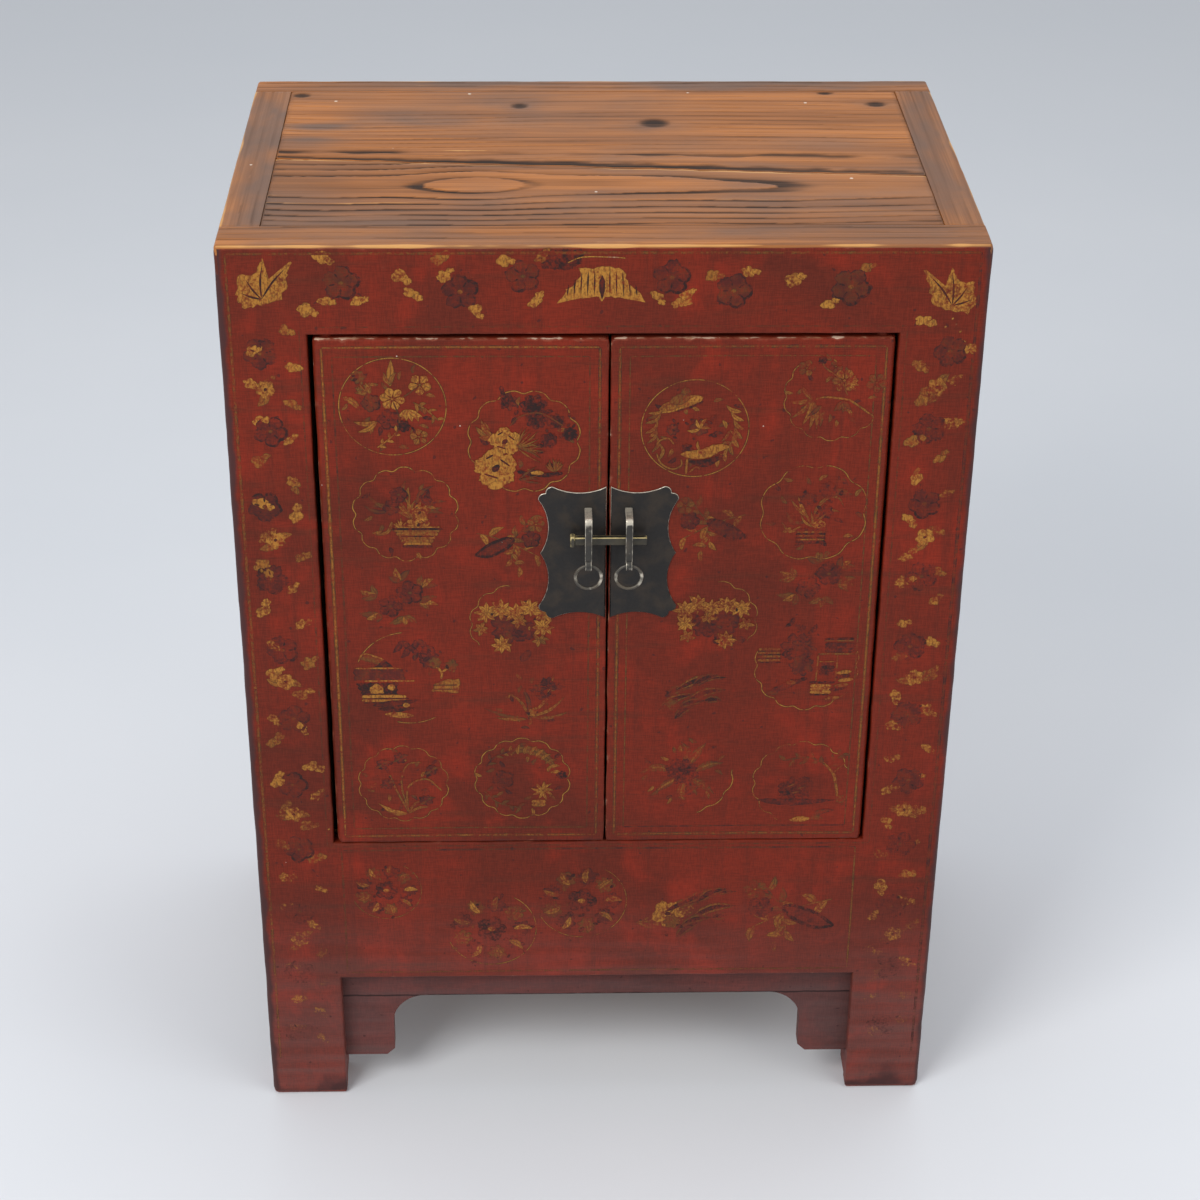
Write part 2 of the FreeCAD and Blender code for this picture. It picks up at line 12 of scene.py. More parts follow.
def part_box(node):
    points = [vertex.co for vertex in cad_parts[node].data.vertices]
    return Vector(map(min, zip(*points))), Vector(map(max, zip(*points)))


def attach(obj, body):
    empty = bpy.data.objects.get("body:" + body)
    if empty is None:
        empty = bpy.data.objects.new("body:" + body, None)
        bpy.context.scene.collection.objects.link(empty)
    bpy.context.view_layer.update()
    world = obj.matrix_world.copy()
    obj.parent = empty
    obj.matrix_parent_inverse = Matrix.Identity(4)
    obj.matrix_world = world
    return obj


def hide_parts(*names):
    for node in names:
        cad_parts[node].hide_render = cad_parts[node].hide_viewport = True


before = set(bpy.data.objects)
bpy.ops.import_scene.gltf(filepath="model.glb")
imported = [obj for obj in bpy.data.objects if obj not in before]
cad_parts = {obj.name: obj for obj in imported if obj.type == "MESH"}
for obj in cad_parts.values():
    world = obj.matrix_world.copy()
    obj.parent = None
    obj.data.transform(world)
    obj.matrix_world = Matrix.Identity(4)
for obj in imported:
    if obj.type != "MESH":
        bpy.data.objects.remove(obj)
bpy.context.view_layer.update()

# Two-door cabinet in red lacquer over a cloth ground, painted in gold and plum, with a worn plank top.
# Meshes are worked out in millimetres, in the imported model's own frame, and handed over in metres.

LOG = logging.getLogger("cabinet")
MM = 0.001
PAINTING_SEEDS = (201, 202, 203)
DOOR_SEEDS = {"left": 11, "right": 23}

Array = np.ndarray
Material = bpy.types.Material
Pair = tuple[float, float]
Place = tuple[float, float, float]
Colour = tuple[float, float, float, float]
Limits = tuple[float, float, float, float]
Socket = bpy.types.NodeSocket
Feeds = dict[str | int, object]


def paint(red: int, green: int, blue: int) -> Colour:
    """A colour as a shader takes it.

    Args:
        red, green, blue: display levels from 0 to 255.
    Returns:
        The linear colour with full alpha.
    """
    levels = np.array([red, green, blue]) / 255
    linear = np.where(levels <= 0.04045, levels / 12.92, ((levels + 0.055) / 1.055) ** 2.4)
    return (*linear.tolist(), 1.0)


def ease(value: Array, low: float, high: float) -> Array:
    """A smooth step: 0 below low, 1 above high, and s * s * (3 - 2 s) between.

    Args:
        value: where the step is taken.
        low, high: where it starts and ends.
    Returns:
        The step at each value.
    """
    share = np.clip((value - low) / (high - low), 0, 1)
    return share * share * (3 - 2 * share)


def bell(value: Array, width: Array | float) -> Array:
    """A bell curve: exp(-(value / width) ** 2)."""
    return np.exp(-((value / width) ** 2))


def span(*nodes: str) -> tuple[Array, Array]:
    """The box round some nodes of the frame.

    Args:
        nodes: their names.
    Returns:
        Lowest and highest corner in millimetres.
    """
    corners = np.array([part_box(node) for node in nodes]) / MM
    return corners[:, 0].min(axis=0), corners[:, 1].max(axis=0)


def add_object(name: str, data: bpy.types.ID) -> bpy.types.Object:
    """A new object in the scene, with its mesh, lamp or camera data."""
    made = bpy.data.objects.new(name, data)
    bpy.context.scene.collection.objects.link(made)
    return made


def cells(index: Array) -> Array:
    """The quads between neighbours in a grid of point numbers."""
    return np.stack([index[:-1, :-1], index[1:, :-1], index[1:, 1:], index[:-1, 1:]], axis=-1)


@dataclass(frozen=True)
class Drift:
    """Smooth seeded noise: random values on a square lattice, eased between and added up over octaves."""

    seed: int
    cells: int = 128

    def at(self, u: Array, v: Array | float = 0.0, octaves: int = 3) -> Array:
        """Noise of about -1 to 1.

        Args:
            u, v: places, in lattice cells.
            octaves: layers, each twice as fine and half as strong as the one before.
        Returns:
            The noise at each place.
        """
        table = np.random.default_rng(self.seed).uniform(-1, 1, (self.cells, self.cells))
        u, v = np.broadcast_arrays(np.asarray(u, float), np.asarray(v, float))
        total = np.zeros(u.shape)
        for octave in range(octaves):
            scale = 2.0**octave
            a, b = u * scale + 17.3 * octave, v * scale + 9.1 * octave
            i, j = np.floor(a).astype(int), np.floor(b).astype(int)
            s, t = ease(a - i, 0, 1), ease(b - j, 0, 1)
            here, there = i % self.cells, (i + 1) % self.cells
            near, far = j % self.cells, (j + 1) % self.cells
            low = table[here, near] * (1 - s) + table[there, near] * s
            high = table[here, far] * (1 - s) + table[there, far] * s
            total += (low * (1 - t) + high * t) / scale
        return total


@dataclass
class Surface:
    """A mesh as arrays: points in millimetres, quads that face outwards, and named values per point."""

    points: Array
    quads: Array
    values: dict[str, Array] = field(default_factory=dict)
    caps: list[Array] = field(default_factory=list)

    @classmethod
    def grid(
        cls,
        points: Array,
        values: dict[str, Array] | None = None,
        loop_rows: bool = False,
        loop_columns: bool = False,
        capped: bool = False,
    ) -> "Surface":
        """A surface over two parameters, which run along the rows and the columns of a grid.

        Args:
            points: the surface at each grid place, as rows by columns by 3.
            values: named values at each grid place.
            loop_rows, loop_columns: whether the last row or column joins the first.
            capped: whether the first and last row are closed with a flat face.
        Returns:
            The surface, with a quad in each grid cell.
        """
        rows, columns = points.shape[:2]
        index = np.arange(rows * columns).reshape(rows, columns)
        caps = [index[0], index[-1, ::-1]] if capped else []
        if loop_rows:
            index = np.vstack([index, index[:1]])
        if loop_columns:
            index = np.hstack([index, index[:, :1]])
        flat = {name: np.broadcast_to(v, (rows, columns)).ravel() for name, v in (values or {}).items()}
        return cls(points.reshape(-1, 3), cells(index).reshape(-1, 4), flat, caps)

    @classmethod
    def joined(cls, parts: list["Surface"]) -> "Surface":
        """Several surfaces with the same values as one.

        Args:
            parts: the surfaces.
        Returns:
            One surface that holds them all.
        """
        starts = np.cumsum([0] + [len(part.points) for part in parts[:-1]])
        return cls(
            np.concatenate([part.points for part in parts]),
            np.concatenate([part.quads + start for part, start in zip(parts, starts)]),
            {name: np.concatenate([part.values[name] for part in parts]) for name in parts[0].values},
            [cap + start for part, start in zip(parts, starts) for cap in part.caps],
        )

    def piece(
        self, name: str, body: str, slot: str, finish: Material, wall: float = 0.0, smooth: bool = True
    ) -> bpy.types.Object:
        """Puts the surface into the scene.

        Args:
            name: the piece's name.
            body: the body of the frame that it rides on.
            slot: not used.
            finish: its material.
            wall: thickness in millimetres that an open sheet is given, inwards.
            smooth: whether it is shaded as one rounded form.
        Returns:
            The piece's object.
        """
        mesh = bpy.data.meshes.new(name)
        faces = self.quads.tolist() + [cap.tolist() for cap in self.caps]
        mesh.from_pydata((self.points * MM).tolist(), [], faces)
        for key, value in self.values.items():
            layer = mesh.attributes.new(key, "FLOAT", "POINT")
            layer.data.foreach_set("value", value.astype(np.float32))
        mesh.polygons.foreach_set("use_smooth", np.full(len(mesh.polygons), smooth))
        mesh.materials.append(finish)
        mesh.update()
        piece = add_object(name, mesh)
        if wall:
            shell = piece.modifiers.new("wall", "SOLIDIFY")
            shell.thickness = wall * MM
            shell.offset = -1.0
        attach(piece, body)
        LOG.info("%s: %d quads on %s", name, len(self.quads), body)
        return piece


def block_lines(low: float, high: float, soft_low: float, soft_high: float, spacing: float) -> Array:
    """Grid lines across a block: close together in the rounding at both ends, and evenly spaced between.

    Args:
        low, high: the block's limits.
        soft_low, soft_high: the rounding of its edges at each limit.
        spacing: the widest step between lines.
    Returns:
        The places of the lines.
    """
    bend = (1 - np.cos(np.linspace(0, math.pi / 2, 5)))[:-1]
    steps = max(1, math.ceil((high - low - soft_low - soft_high) / spacing))
    between = np.linspace(low + soft_low, high - soft_high, steps + 1)
    return np.concatenate([low + soft_low * bend, between, high - soft_high * bend[::-1]])


def block_lattice(lines: list[Array]) -> tuple[Array, Array]:
    """The six faces of a block, cut by its grid lines, with shared points along the edges.

    Args:
        lines: places of the grid lines along each of the three axes.
    Returns:
        The points, and the quads between them, facing outwards.
    """
    counts = [len(places) for places in lines]
    faces = []
    for axis in range(3):
        first, second = (axis + 1) % 3, (axis + 2) % 3
        a, b = np.indices((counts[first] - 1, counts[second] - 1)).reshape(2, -1)
        for end, order in ((counts[axis] - 1, 1), (0, -1)):
            corners = []
            for step_a, step_b in ((0, 0), (1, 0), (1, 1), (0, 1))[::order]:
                place = {axis: np.full(a.size, end), first: a + step_a, second: b + step_b}
                corners.append(np.ravel_multi_index([place[0], place[1], place[2]], counts))
            faces.append(np.stack(corners, axis=1))
    used, quads = np.unique(np.concatenate(faces), return_inverse=True)
    indices = np.unravel_index(used, counts)
    points = np.stack([places[index] for places, index in zip(lines, indices)], axis=1)
    return points, quads.reshape(-1, 4)


@dataclass
class WornBlock:
    """A board with worn arrises.

    Each point of the block is drawn to the inner block that lies one rounding inside it, and set one rounding
    away from that again, which rounds every edge. The rounding drifts along the edges, and is small on the
    faces that meet another board.
    """

    low: Array
    high: Array
    radius: float
    spacing: Place
    seed: int = 1
    unevenness: float = 0.35
    drift_length: float = 30.0
    joints: tuple[str, ...] = ()
    joint_radius: float = 0.4

    def surface(self) -> tuple[Surface, Array]:
        """The rounded block.

        Returns:
            Its surface, with each point's distance from the nearest arris as the value edge, and the
            outward directions.
        """
        low, high = np.asarray(self.low, float), np.asarray(self.high, float)
        soft = np.full((2, 3), self.radius)
        for side, axis in self.joints:
            soft["-+".index(side), "xyz".index(axis)] = self.joint_radius
        lines = [block_lines(*limits) for limits in zip(low, high, *soft, self.spacing)]
        points, quads = block_lattice(lines)
        drift = Drift(self.seed).at(points.sum(axis=1) / self.drift_length, points[:, 0] / self.drift_length)
        uneven = (1 + self.unevenness * np.clip(drift, -1, 1))[:, None]
        inner = np.clip(points, low + soft[0] * uneven, high - soft[1] * uneven)
        away = points - inner
        rounding = np.where(away < 0, soft[0], soft[1]) * uneven
        way = away / rounding
        way = way / np.linalg.norm(way, axis=1, keepdims=True)
        outward = way / rounding
        outward = outward / np.linalg.norm(outward, axis=1, keepdims=True)
        edge = np.sort(np.minimum(points - low, high - points), axis=1)[:, 1]
        return Surface(inner + way * rounding, quads, {"edge": edge}), outward


class Tree:
    """A node tree, with short calls that add a node, feed its sockets and give back its output."""

    def __init__(self, tree: bpy.types.NodeTree) -> None:
        """Starts on an empty tree."""
        self.tree = tree

    def add(self, kind: str, feeds: Feeds | None = None, out: str | int = 0, **settings: object) -> Socket:
        """Adds a node.

        Args:
            kind: its type without the ShaderNode prefix.
            feeds: a value or another node's output for each input.
            out: the output to give back.
            settings: the node's own settings.
        Returns:
            That output.
        """
        node = self.tree.nodes.new("ShaderNode" + kind)
        for key, value in settings.items():
            setattr(node, key, value)
        for key, value in (feeds or {}).items():
            self.feed(node.inputs[key], value)
        return node.outputs[out]

    def feed(self, socket: Socket, value: object) -> None:
        """Links an output to a socket, or sets the socket's own value."""
        if isinstance(value, bpy.types.NodeSocket):
            self.tree.links.new(value, socket)
        else:
            socket.default_value = value

    def math(self, operation: str, *values: object) -> Socket:
        """A sum of one to three values by the named operation."""
        return self.add("Math", dict(enumerate(values)), operation=operation)

    def plus(self, first: object, second: object) -> Socket:
        """Two values added."""
        return self.math("ADD", first, second)

    def minus(self, first: object, second: object) -> Socket:
        """The first value less the second."""
        return self.math("SUBTRACT", first, second)

    def times(self, first: object, second: object) -> Socket:
        """Two values multiplied."""
        return self.math("MULTIPLY", first, second)

    def most(self, first: object, second: object) -> Socket:
        """The greater of two values."""
        return self.math("MAXIMUM", first, second)

    def swing(self, noise: Socket, reach: float) -> Socket:
        """The swing of a noise about its middle, times a reach."""
        return self.times(self.minus(noise, 0.5), reach)

    def blend(self, first: Socket, share: float, second: Socket, other_share: float) -> Socket:
        """Two values added, each times its share."""
        return self.plus(self.times(first, share), self.times(second, other_share))

    def fit(self, value: Socket, low: float, high: float, start: float = 0.0, end: float = 1.0) -> Socket:
        """A smooth step from start at low to end at high."""
        feeds = {0: value, 1: low, 2: high, 3: start, 4: end}
        return self.add("MapRange", feeds, interpolation_type="SMOOTHSTEP")

    def mix(self, share: object, first: object, second: object, blend: str = "MIX") -> Socket:
        """Two colours mixed by a share."""
        return self.add("Mix", {0: share, 6: first, 7: second}, out=2, data_type="RGBA", blend_type=blend)

    def stretch(self, vector: Socket, scale: Place) -> Socket:
        """A vector multiplied axis by axis."""
        return self.add("VectorMath", {0: vector, 1: scale}, operation="MULTIPLY")

    def noise(self, vector: Socket, scale: float, detail: float = 3.0, warp: float = 0.0) -> Socket:
        """Cloudy noise from 0 to 1, about 0.5."""
        feeds = {"Vector": vector, "Scale": scale, "Detail": detail, "Distortion": warp}
        return self.add("TexNoise", feeds)

    def value(self, name: str) -> Socket:
        """A value that the mesh carries per point."""
        return self.add("Attribute", out="Fac", attribute_name=name)

    def place(self) -> Socket:
        """The place on the object."""
        return self.add("TexCoord", out="Object")

    def dress(
        self, shader: bpy.types.Node, height: Socket, bump: Pair, **feeds: object
    ) -> None:
        """Feeds a shader node.

        Args:
            shader: the node.
            height: what its bump follows.
            bump: the bump's strength, and its depth in metres.
            feeds: values or outputs for its other inputs, by name with _ for a space.
        """
        for name, value in feeds.items():
            self.feed(shader.inputs[name.replace("_", " ")], value)
        relief = {"Height": height, "Strength": bump[0], "Distance": bump[1]}
        self.feed(shader.inputs["Normal"], self.add("Bump", relief))

    def group(self, effect: bpy.types.NodeTree, feeds: Feeds) -> dict[str, Socket]:
        """Places a shared effect and gives back its outputs by name."""
        node = self.tree.nodes.new("ShaderNodeGroup")
        node.node_tree = effect
        for key, value in feeds.items():
            self.feed(node.inputs[key], value)
        return {socket.name: socket for socket in node.outputs}


SOCKET_KINDS = {"Vector": "NodeSocketVector", "Value": "NodeSocketFloat", "Colour": "NodeSocketColor"}


@dataclass(frozen=True)
class Effect:
    """A shader effect that several finishes share, made once as a node group."""

    name: str
    inputs: dict[str, str]
    outputs: dict[str, str]
    sketch: Callable[[Tree, dict[str, Socket]], dict[str, Socket]]

    def tree(self) -> bpy.types.NodeTree:
        """The effect's node group, built on first use.

        Returns:
            The node group.
        """
        made = bpy.data.node_groups.get(self.name)
        if made:
            return made
        made = bpy.data.node_groups.new(self.name, "ShaderNodeTree")
        for way, sockets in (("INPUT", self.inputs), ("OUTPUT", self.outputs)):
            for name, kind in sockets.items():
                made.interface.new_socket(name=name, in_out=way, socket_type=SOCKET_KINDS[kind])
        start = made.nodes.new("NodeGroupInput")
        end = made.nodes.new("NodeGroupOutput")
        tree = Tree(made)
        results = self.sketch(tree, {name: start.outputs[name] for name in self.inputs})
        for name, socket in results.items():
            tree.feed(end.inputs[name], socket)
        return made


def sketch_lacquer(tree: Tree, given: dict[str, Socket]) -> dict[str, Socket]:
    """Aged lacquer on a cloth ground: cloudy tone, brushed streaks, the weave's threads, small specks, and a
    painted pale reflection of the floor over the lower part.

    Args:
        tree: the group's tree.
        given: its inputs.
    Returns:
        Colour, roughness and height.
    """
    place = given["Place"]
    upright = tree.noise(tree.stretch(place, (1150, 1150, 130)), 1.0, 1.0)
    level = tree.noise(tree.stretch(place, (110, 110, 1150)), 1.0, 1.0)
    threads = tree.blend(upright, 0.5, level, 0.5)
    cloud = tree.noise(place, 6.5, 6.0, 0.6)
    colour = tree.mix(tree.fit(cloud, 0.36, 0.70), given["Red"], given["Deep"])
    patch = tree.noise(place, 24.0, 5.0, 0.4)
    colour = tree.mix(tree.fit(patch, 0.46, 0.74, 0.0, 0.8), colour, given["Bright"])
    streak = tree.noise(tree.stretch(place, (120, 120, 4.5)), 1.0, 4.0)
    colour = tree.mix(tree.fit(streak, 0.50, 0.76, 0.0, 0.6), colour, given["Deep"])
    smear = tree.noise(tree.stretch(place, (7, 7, 90)), 1.0, 4.0)
    colour = tree.mix(tree.fit(smear, 0.54, 0.78, 0.0, 0.55), colour, given["Brown"])
    shade = tree.fit(threads, 0.36, 0.64, 0.84, 1.14)
    colour = tree.mix(1.0, colour, tree.add("CombineColor", {0: shade, 1: shade, 2: shade}), "MULTIPLY")
    # Painted reflection of the bright floor: the lacquer is mixed towards a pale grey-pink on its lower part,
    # more strongly nearer the floor.
    height_up = tree.add("SeparateXYZ", {0: place}, "Z")
    dust_and_floor_sheen = tree.times(tree.fit(height_up, 0.26, 0.04, 0.0, 0.12), tree.fit(smear, 0.3, 0.7, 0.6, 1.2))
    colour = tree.mix(dust_and_floor_sheen, colour, paint(150, 134, 134))
    specks = tree.noise(place, 150.0, 1.0)
    colour = tree.mix(tree.fit(specks, 0.71, 0.76, 0.0, 0.6), colour, paint(48, 26, 26))
    cells = {"Vector": place, "Scale": 62.0}
    dots = tree.math("LESS_THAN", tree.add("TexVoronoi", cells, out="Distance"), 0.034)
    lot = tree.add("SeparateColor", {0: tree.add("TexVoronoi", cells, out="Color")})
    dots = tree.times(dots, tree.math("GREATER_THAN", lot, 0.90))
    colour = tree.mix(tree.times(dots, 0.8), colour, paint(205, 190, 175))
    rough = tree.fit(cloud, 0.3, 0.7, 0.40, 0.54)
    rough = tree.plus(rough, tree.times(threads, 0.08))
    height = tree.blend(threads, 0.7, patch, 0.5)
    return {"Colour": colour, "Roughness": rough, "Height": height}


LACQUER = Effect(
    "aged_lacquer",
    {"Place": "Vector", "Red": "Colour", "Deep": "Colour", "Bright": "Colour", "Brown": "Colour"},
    {"Colour": "Colour", "Roughness": "Value", "Height": "Value"},
    sketch_lacquer,
)


def sketch_arris(tree: Tree, given: dict[str, Socket]) -> dict[str, Socket]:
    """Wear along arrises: pale chips down to the ground, and lacquer rubbed dark by hands.

    Args:
        tree: the group's tree.
        given: its inputs, with the share of pale and dark wear that each place is open to.
    Returns:
        The worn colour and the mask of the chips.
    """
    place = given["Place"]
    ragged = tree.noise(place, 95.0, 5.0, 0.5)
    soft = tree.noise(place, 34.0, 4.0)
    rubbed = tree.plus(given["Dark"], tree.swing(soft, 0.9))
    colour = tree.mix(tree.fit(rubbed, 0.35, 0.75, 0.0, 0.9), given["Colour"], paint(62, 38, 38))
    chipped = tree.plus(given["Pale"], tree.swing(ragged, 1.7))
    halo = tree.fit(chipped, 0.36, 0.66, 0.0, 0.7)
    colour = tree.mix(halo, colour, paint(132, 70, 52))
    chips = tree.fit(chipped, 0.70, 0.84)
    ground = tree.mix(tree.fit(soft, 0.4, 0.6), paint(200, 172, 150), paint(150, 104, 76))
    colour = tree.mix(chips, colour, ground)
    return {"Colour": colour, "Chips": chips}


ARRIS = Effect(
    "arris_wear",
    {"Place": "Vector", "Colour": "Colour", "Pale": "Value", "Dark": "Value"},
    {"Colour": "Colour", "Chips": "Value"},
    sketch_arris,
)


def sketch_fibre(tree: Tree, given: dict[str, Socket]) -> dict[str, Socket]:
    """Sawn wood along X: long fibres, growth rings that wander, pores and stains.

    Args:
        tree: the group's tree.
        given: its inputs, with the place turned so that the grain runs along X.
    Returns:
        Tone from pale to dark, stain and height.
    """
    place = given["Place"]
    wander = tree.noise(tree.stretch(place, (2.2, 9, 9)), 1.0, 3.0)
    rings = tree.noise(tree.stretch(place, (1.6, 62, 62)), 1.0, 3.0, 1.2)
    fibre = tree.noise(tree.stretch(place, (9, 640, 640)), 1.0, 3.0)
    pores = tree.fit(tree.noise(tree.stretch(place, (26, 900, 900)), 1.0, 1.0), 0.60, 0.70)
    tone = tree.blend(rings, 0.6, fibre, 0.4)
    stain = tree.noise(place, 5.0, 5.0, 0.8)
    height = tree.minus(tone, tree.times(pores, 0.5))
    tone = tree.plus(tone, tree.swing(wander, 0.5))
    return {"Tone": tone, "Pores": pores, "Stain": stain, "Height": height}


FIBRE = Effect(
    "wood_fibre",
    {"Place": "Vector"},
    {"Tone": "Value", "Pores": "Value", "Stain": "Value", "Height": "Value"},
    sketch_fibre,
)


class Grain(Enum):
    """The axis that a board's grain runs along, as the turn that brings it to X."""

    ALONG_X = (0.0, 0.0, 0.0)
    ALONG_Y = (0.0, 0.0, -math.pi / 2)
    ALONG_Z = (0.0, math.pi / 2, 0.0)


def new_material(name: str) -> tuple[Material, Tree, bpy.types.Node]:
    """An empty node material.

    Args:
        name: its name.
    Returns:
        The material, its tree and its shader node.
    """
    material = bpy.data.materials.new(name)
    material.use_nodes = True
    return material, Tree(material.node_tree), material.node_tree.nodes["Principled BSDF"]


def turned(tree: Tree, place: Socket, grain: Grain) -> Socket:
    """The place turned so that the grain runs along X."""
    return tree.add("VectorRotate", {"Vector": place, "Rotation": grain.value}, rotation_type="EULER_XYZ")


@dataclass(frozen=True)
class BareWood:
    """Old unpainted softwood, dusty and uneven, inside the cabinet and on its back."""

    name: str
    grain: Grain
    pale: Colour = paint(156, 118, 80)
    mid: Colour = paint(120, 84, 54)
    dark: Colour = paint(66, 44, 30)
    dust_and_floor_sheen: Colour = paint(128, 110, 92)
    shift: float = 0.0
    seams: tuple[float, ...] = ()

    def colours(self, tree: Tree, place: Socket) -> tuple[Socket, Socket]:
        """Adds the wood's nodes to a tree.

        Args:
            tree: the tree.
            place: the place on the object.
        Returns:
            Colour and height.
        """
        wood = tree.group(FIBRE.tree(), {"Place": turned(tree, place, self.grain)})
        colour = tree.mix(tree.fit(wood["Tone"], 0.36, 0.62), self.pale, self.mid)
        colour = tree.mix(tree.fit(wood["Tone"], 0.55, 0.74, 0.0, 0.8), colour, self.dark)
        colour = tree.mix(tree.fit(wood["Stain"], 0.46, 0.70, 0.0, 0.65), colour, self.dust_and_floor_sheen)
        colour = tree.mix(tree.times(wood["Pores"], 0.45), colour, self.dark)
        return colour, wood["Height"]

    def material(self) -> Material:
        """The finish as a material."""
        material, tree, shader = new_material(self.name)
        place = tree.place()
        shifted = tree.add("VectorMath", {0: place, 1: (self.shift, self.shift, self.shift)}, operation="ADD")
        colour, height = self.colours(tree, shifted)
        up = tree.add("SeparateXYZ", {0: place}, "Z")
        wander = tree.swing(tree.noise(place, 30.0, 4.0), 0.004)
        for seam in self.seams:
            off = tree.math("ABSOLUTE", tree.minus(tree.plus(up, wander), seam))
            colour = tree.mix(tree.fit(off, 0.0006, 0.0022, 0.9, 0.0), colour, paint(30, 20, 16))
        rough = tree.fit(tree.noise(place, 40.0), 0.3, 0.7, 0.62, 0.82)
        tree.dress(shader, height, (0.35, 0.0006), Base_Color=colour, Roughness=rough)
        return material


@dataclass(frozen=True)
class Lacquer:
    """Red lacquer. On a skin it wears by the skin's values, on a bare board it ends inside the cabinet."""

    name: str
    red: Colour = paint(110, 34, 17)
    deep: Colour = paint(90, 32, 19)
    bright: Colour = paint(128, 37, 19)
    brown: Colour = paint(76, 36, 22)
    on_skin: bool = True
    joint_height: float = -1.0
    weave_depth: float = 0.00025
    gloss: float = 0.17
    front_fade: Pair = (-0.164, -0.158)
    side_fade: Pair = (0.2905, 0.2895)
    back_fade: Pair = (0.1985, 0.2015)
    floor_fade: Pair = (0.125, 0.135)

    def ground(self, tree: Tree, place: Socket) -> dict[str, Socket]:
        """Adds the lacquer's nodes to a tree and gives back their outputs."""
        reds = {"Red": self.red, "Deep": self.deep, "Bright": self.bright, "Brown": self.brown}
        return tree.group(LACQUER.tree(), {"Place": place, **reds})

    def material(self) -> Material:
        """The finish as a material."""
        material, tree, shader = new_material(self.name)
        place = tree.place()
        ground = self.ground(tree, place)
        colour, rough, height = ground["Colour"], ground["Roughness"], ground["Height"]
        if self.on_skin:
            wear = {"Place": place, "Colour": colour, "Pale": tree.value("pale"), "Dark": tree.value("dark")}
            worn = tree.group(ARRIS.tree(), wear)
            colour = worn["Colour"]
            height = tree.minus(height, tree.times(worn["Chips"], 0.8))
            rough = tree.plus(rough, tree.times(worn["Chips"], 0.3))
        else:
            wood_colour, _ = BareWood(self.name, Grain.ALONG_Z).colours(tree, place)
            inside = self.inside(tree, place)
            colour = tree.mix(inside, colour, wood_colour)
            rough = tree.plus(rough, tree.times(inside, 0.25))
            up = tree.add("SeparateXYZ", {0: place}, "Z")
            wander = tree.swing(tree.noise(place, 60.0, 4.0), 0.003)
            off = tree.math("ABSOLUTE", tree.minus(tree.plus(up, wander), self.joint_height))
            colour = tree.mix(tree.fit(off, 0.0004, 0.0013, 0.85, 0.0), colour, paint(34, 20, 20))
        weave = (0.5, self.weave_depth)
        tree.dress(shader, height, weave, Base_Color=colour, Roughness=rough, Specular_IOR_Level=self.gloss)
        return material

    def inside(self, tree: Tree, place: Socket) -> Socket:
        """How far a place lies inside the cabinet or on its back, where the lacquer gives way to wood."""
        axes = tree.add("SeparateXYZ", {0: place}).node.outputs
        ragged = tree.swing(tree.noise(place, 45.0, 4.0), 0.012)
        depth = tree.plus(axes["Y"], ragged)
        across = tree.math("ABSOLUTE", axes["X"])
        behind = tree.fit(depth, *self.front_fade)
        between = tree.fit(across, *self.side_fade)
        back = tree.fit(depth, *self.back_fade)
        above = tree.fit(tree.plus(axes["Z"], ragged), *self.floor_fade)
        hidden = tree.times(tree.times(behind, between), above)
        return tree.most(hidden, back)


@dataclass(frozen=True)
class TopWood:
    """Worn plank wood under old varnish. Grooves, knots, rubbed arrises and a painted highlight beside the
    seam come from the board's values.
    """

    name: str
    grain: Grain
    ridge: Colour = paint(178, 111, 52)
    mid: Colour = paint(146, 90, 45)
    low: Colour = paint(112, 71, 41)
    groove: Colour = paint(40, 27, 20)
    grey: Colour = paint(110, 82, 66)
    worn: Colour = paint(200, 148, 88)
    red: Colour = paint(84, 34, 22)
    gloss: float = 0.22

    def material(self) -> Material:
        """The finish as a material."""
        material, tree, shader = new_material(self.name)
        place = tree.place()
        wood = tree.group(FIBRE.tree(), {"Place": turned(tree, place, self.grain)})
        colour = tree.mix(tree.fit(wood["Tone"], 0.34, 0.60), self.ridge, self.mid)
        colour = tree.mix(tree.fit(wood["Tone"], 0.52, 0.72, 0.0, 0.8), colour, self.low)
        grey = tree.times(tree.value("stain"), tree.fit(wood["Stain"], 0.30, 0.60, 0.35, 1.0))
        colour = tree.mix(grey, colour, self.grey)
        dark = tree.times(tree.value("groove"), tree.fit(wood["Tone"], 0.25, 0.55, 0.55, 1.0))
        colour = tree.mix(dark, colour, self.groove)
        # Pale where the wood is rubbed, and in the painted highlight beside the seam.
        rub = tree.plus(tree.value("rub"), tree.minus(wood["Stain"], 0.5))
        colour = tree.mix(tree.fit(rub, 0.45, 0.80, 0.0, 0.9), colour, self.worn)
        side = tree.plus(tree.value("side"), tree.minus(wood["Stain"], 0.5))
        colour = tree.mix(tree.fit(side, 0.40, 0.60), colour, self.red)
        cells = tree.add("TexVoronoi", {"Vector": place, "Scale": 21.0}, "Distance")
        spots = tree.math("LESS_THAN", cells, 0.03)
        colour = tree.mix(tree.times(spots, 0.8), colour, paint(224, 214, 200))
        rough = tree.plus(tree.fit(wood["Tone"], 0.3, 0.7, 0.40, 0.54), tree.times(dark, 0.25))
        feeds = {"Base_Color": colour, "Roughness": rough, "Specular_IOR_Level": self.gloss}
        tree.dress(shader, wood["Height"], (0.4, 0.0004), **feeds)
        return material


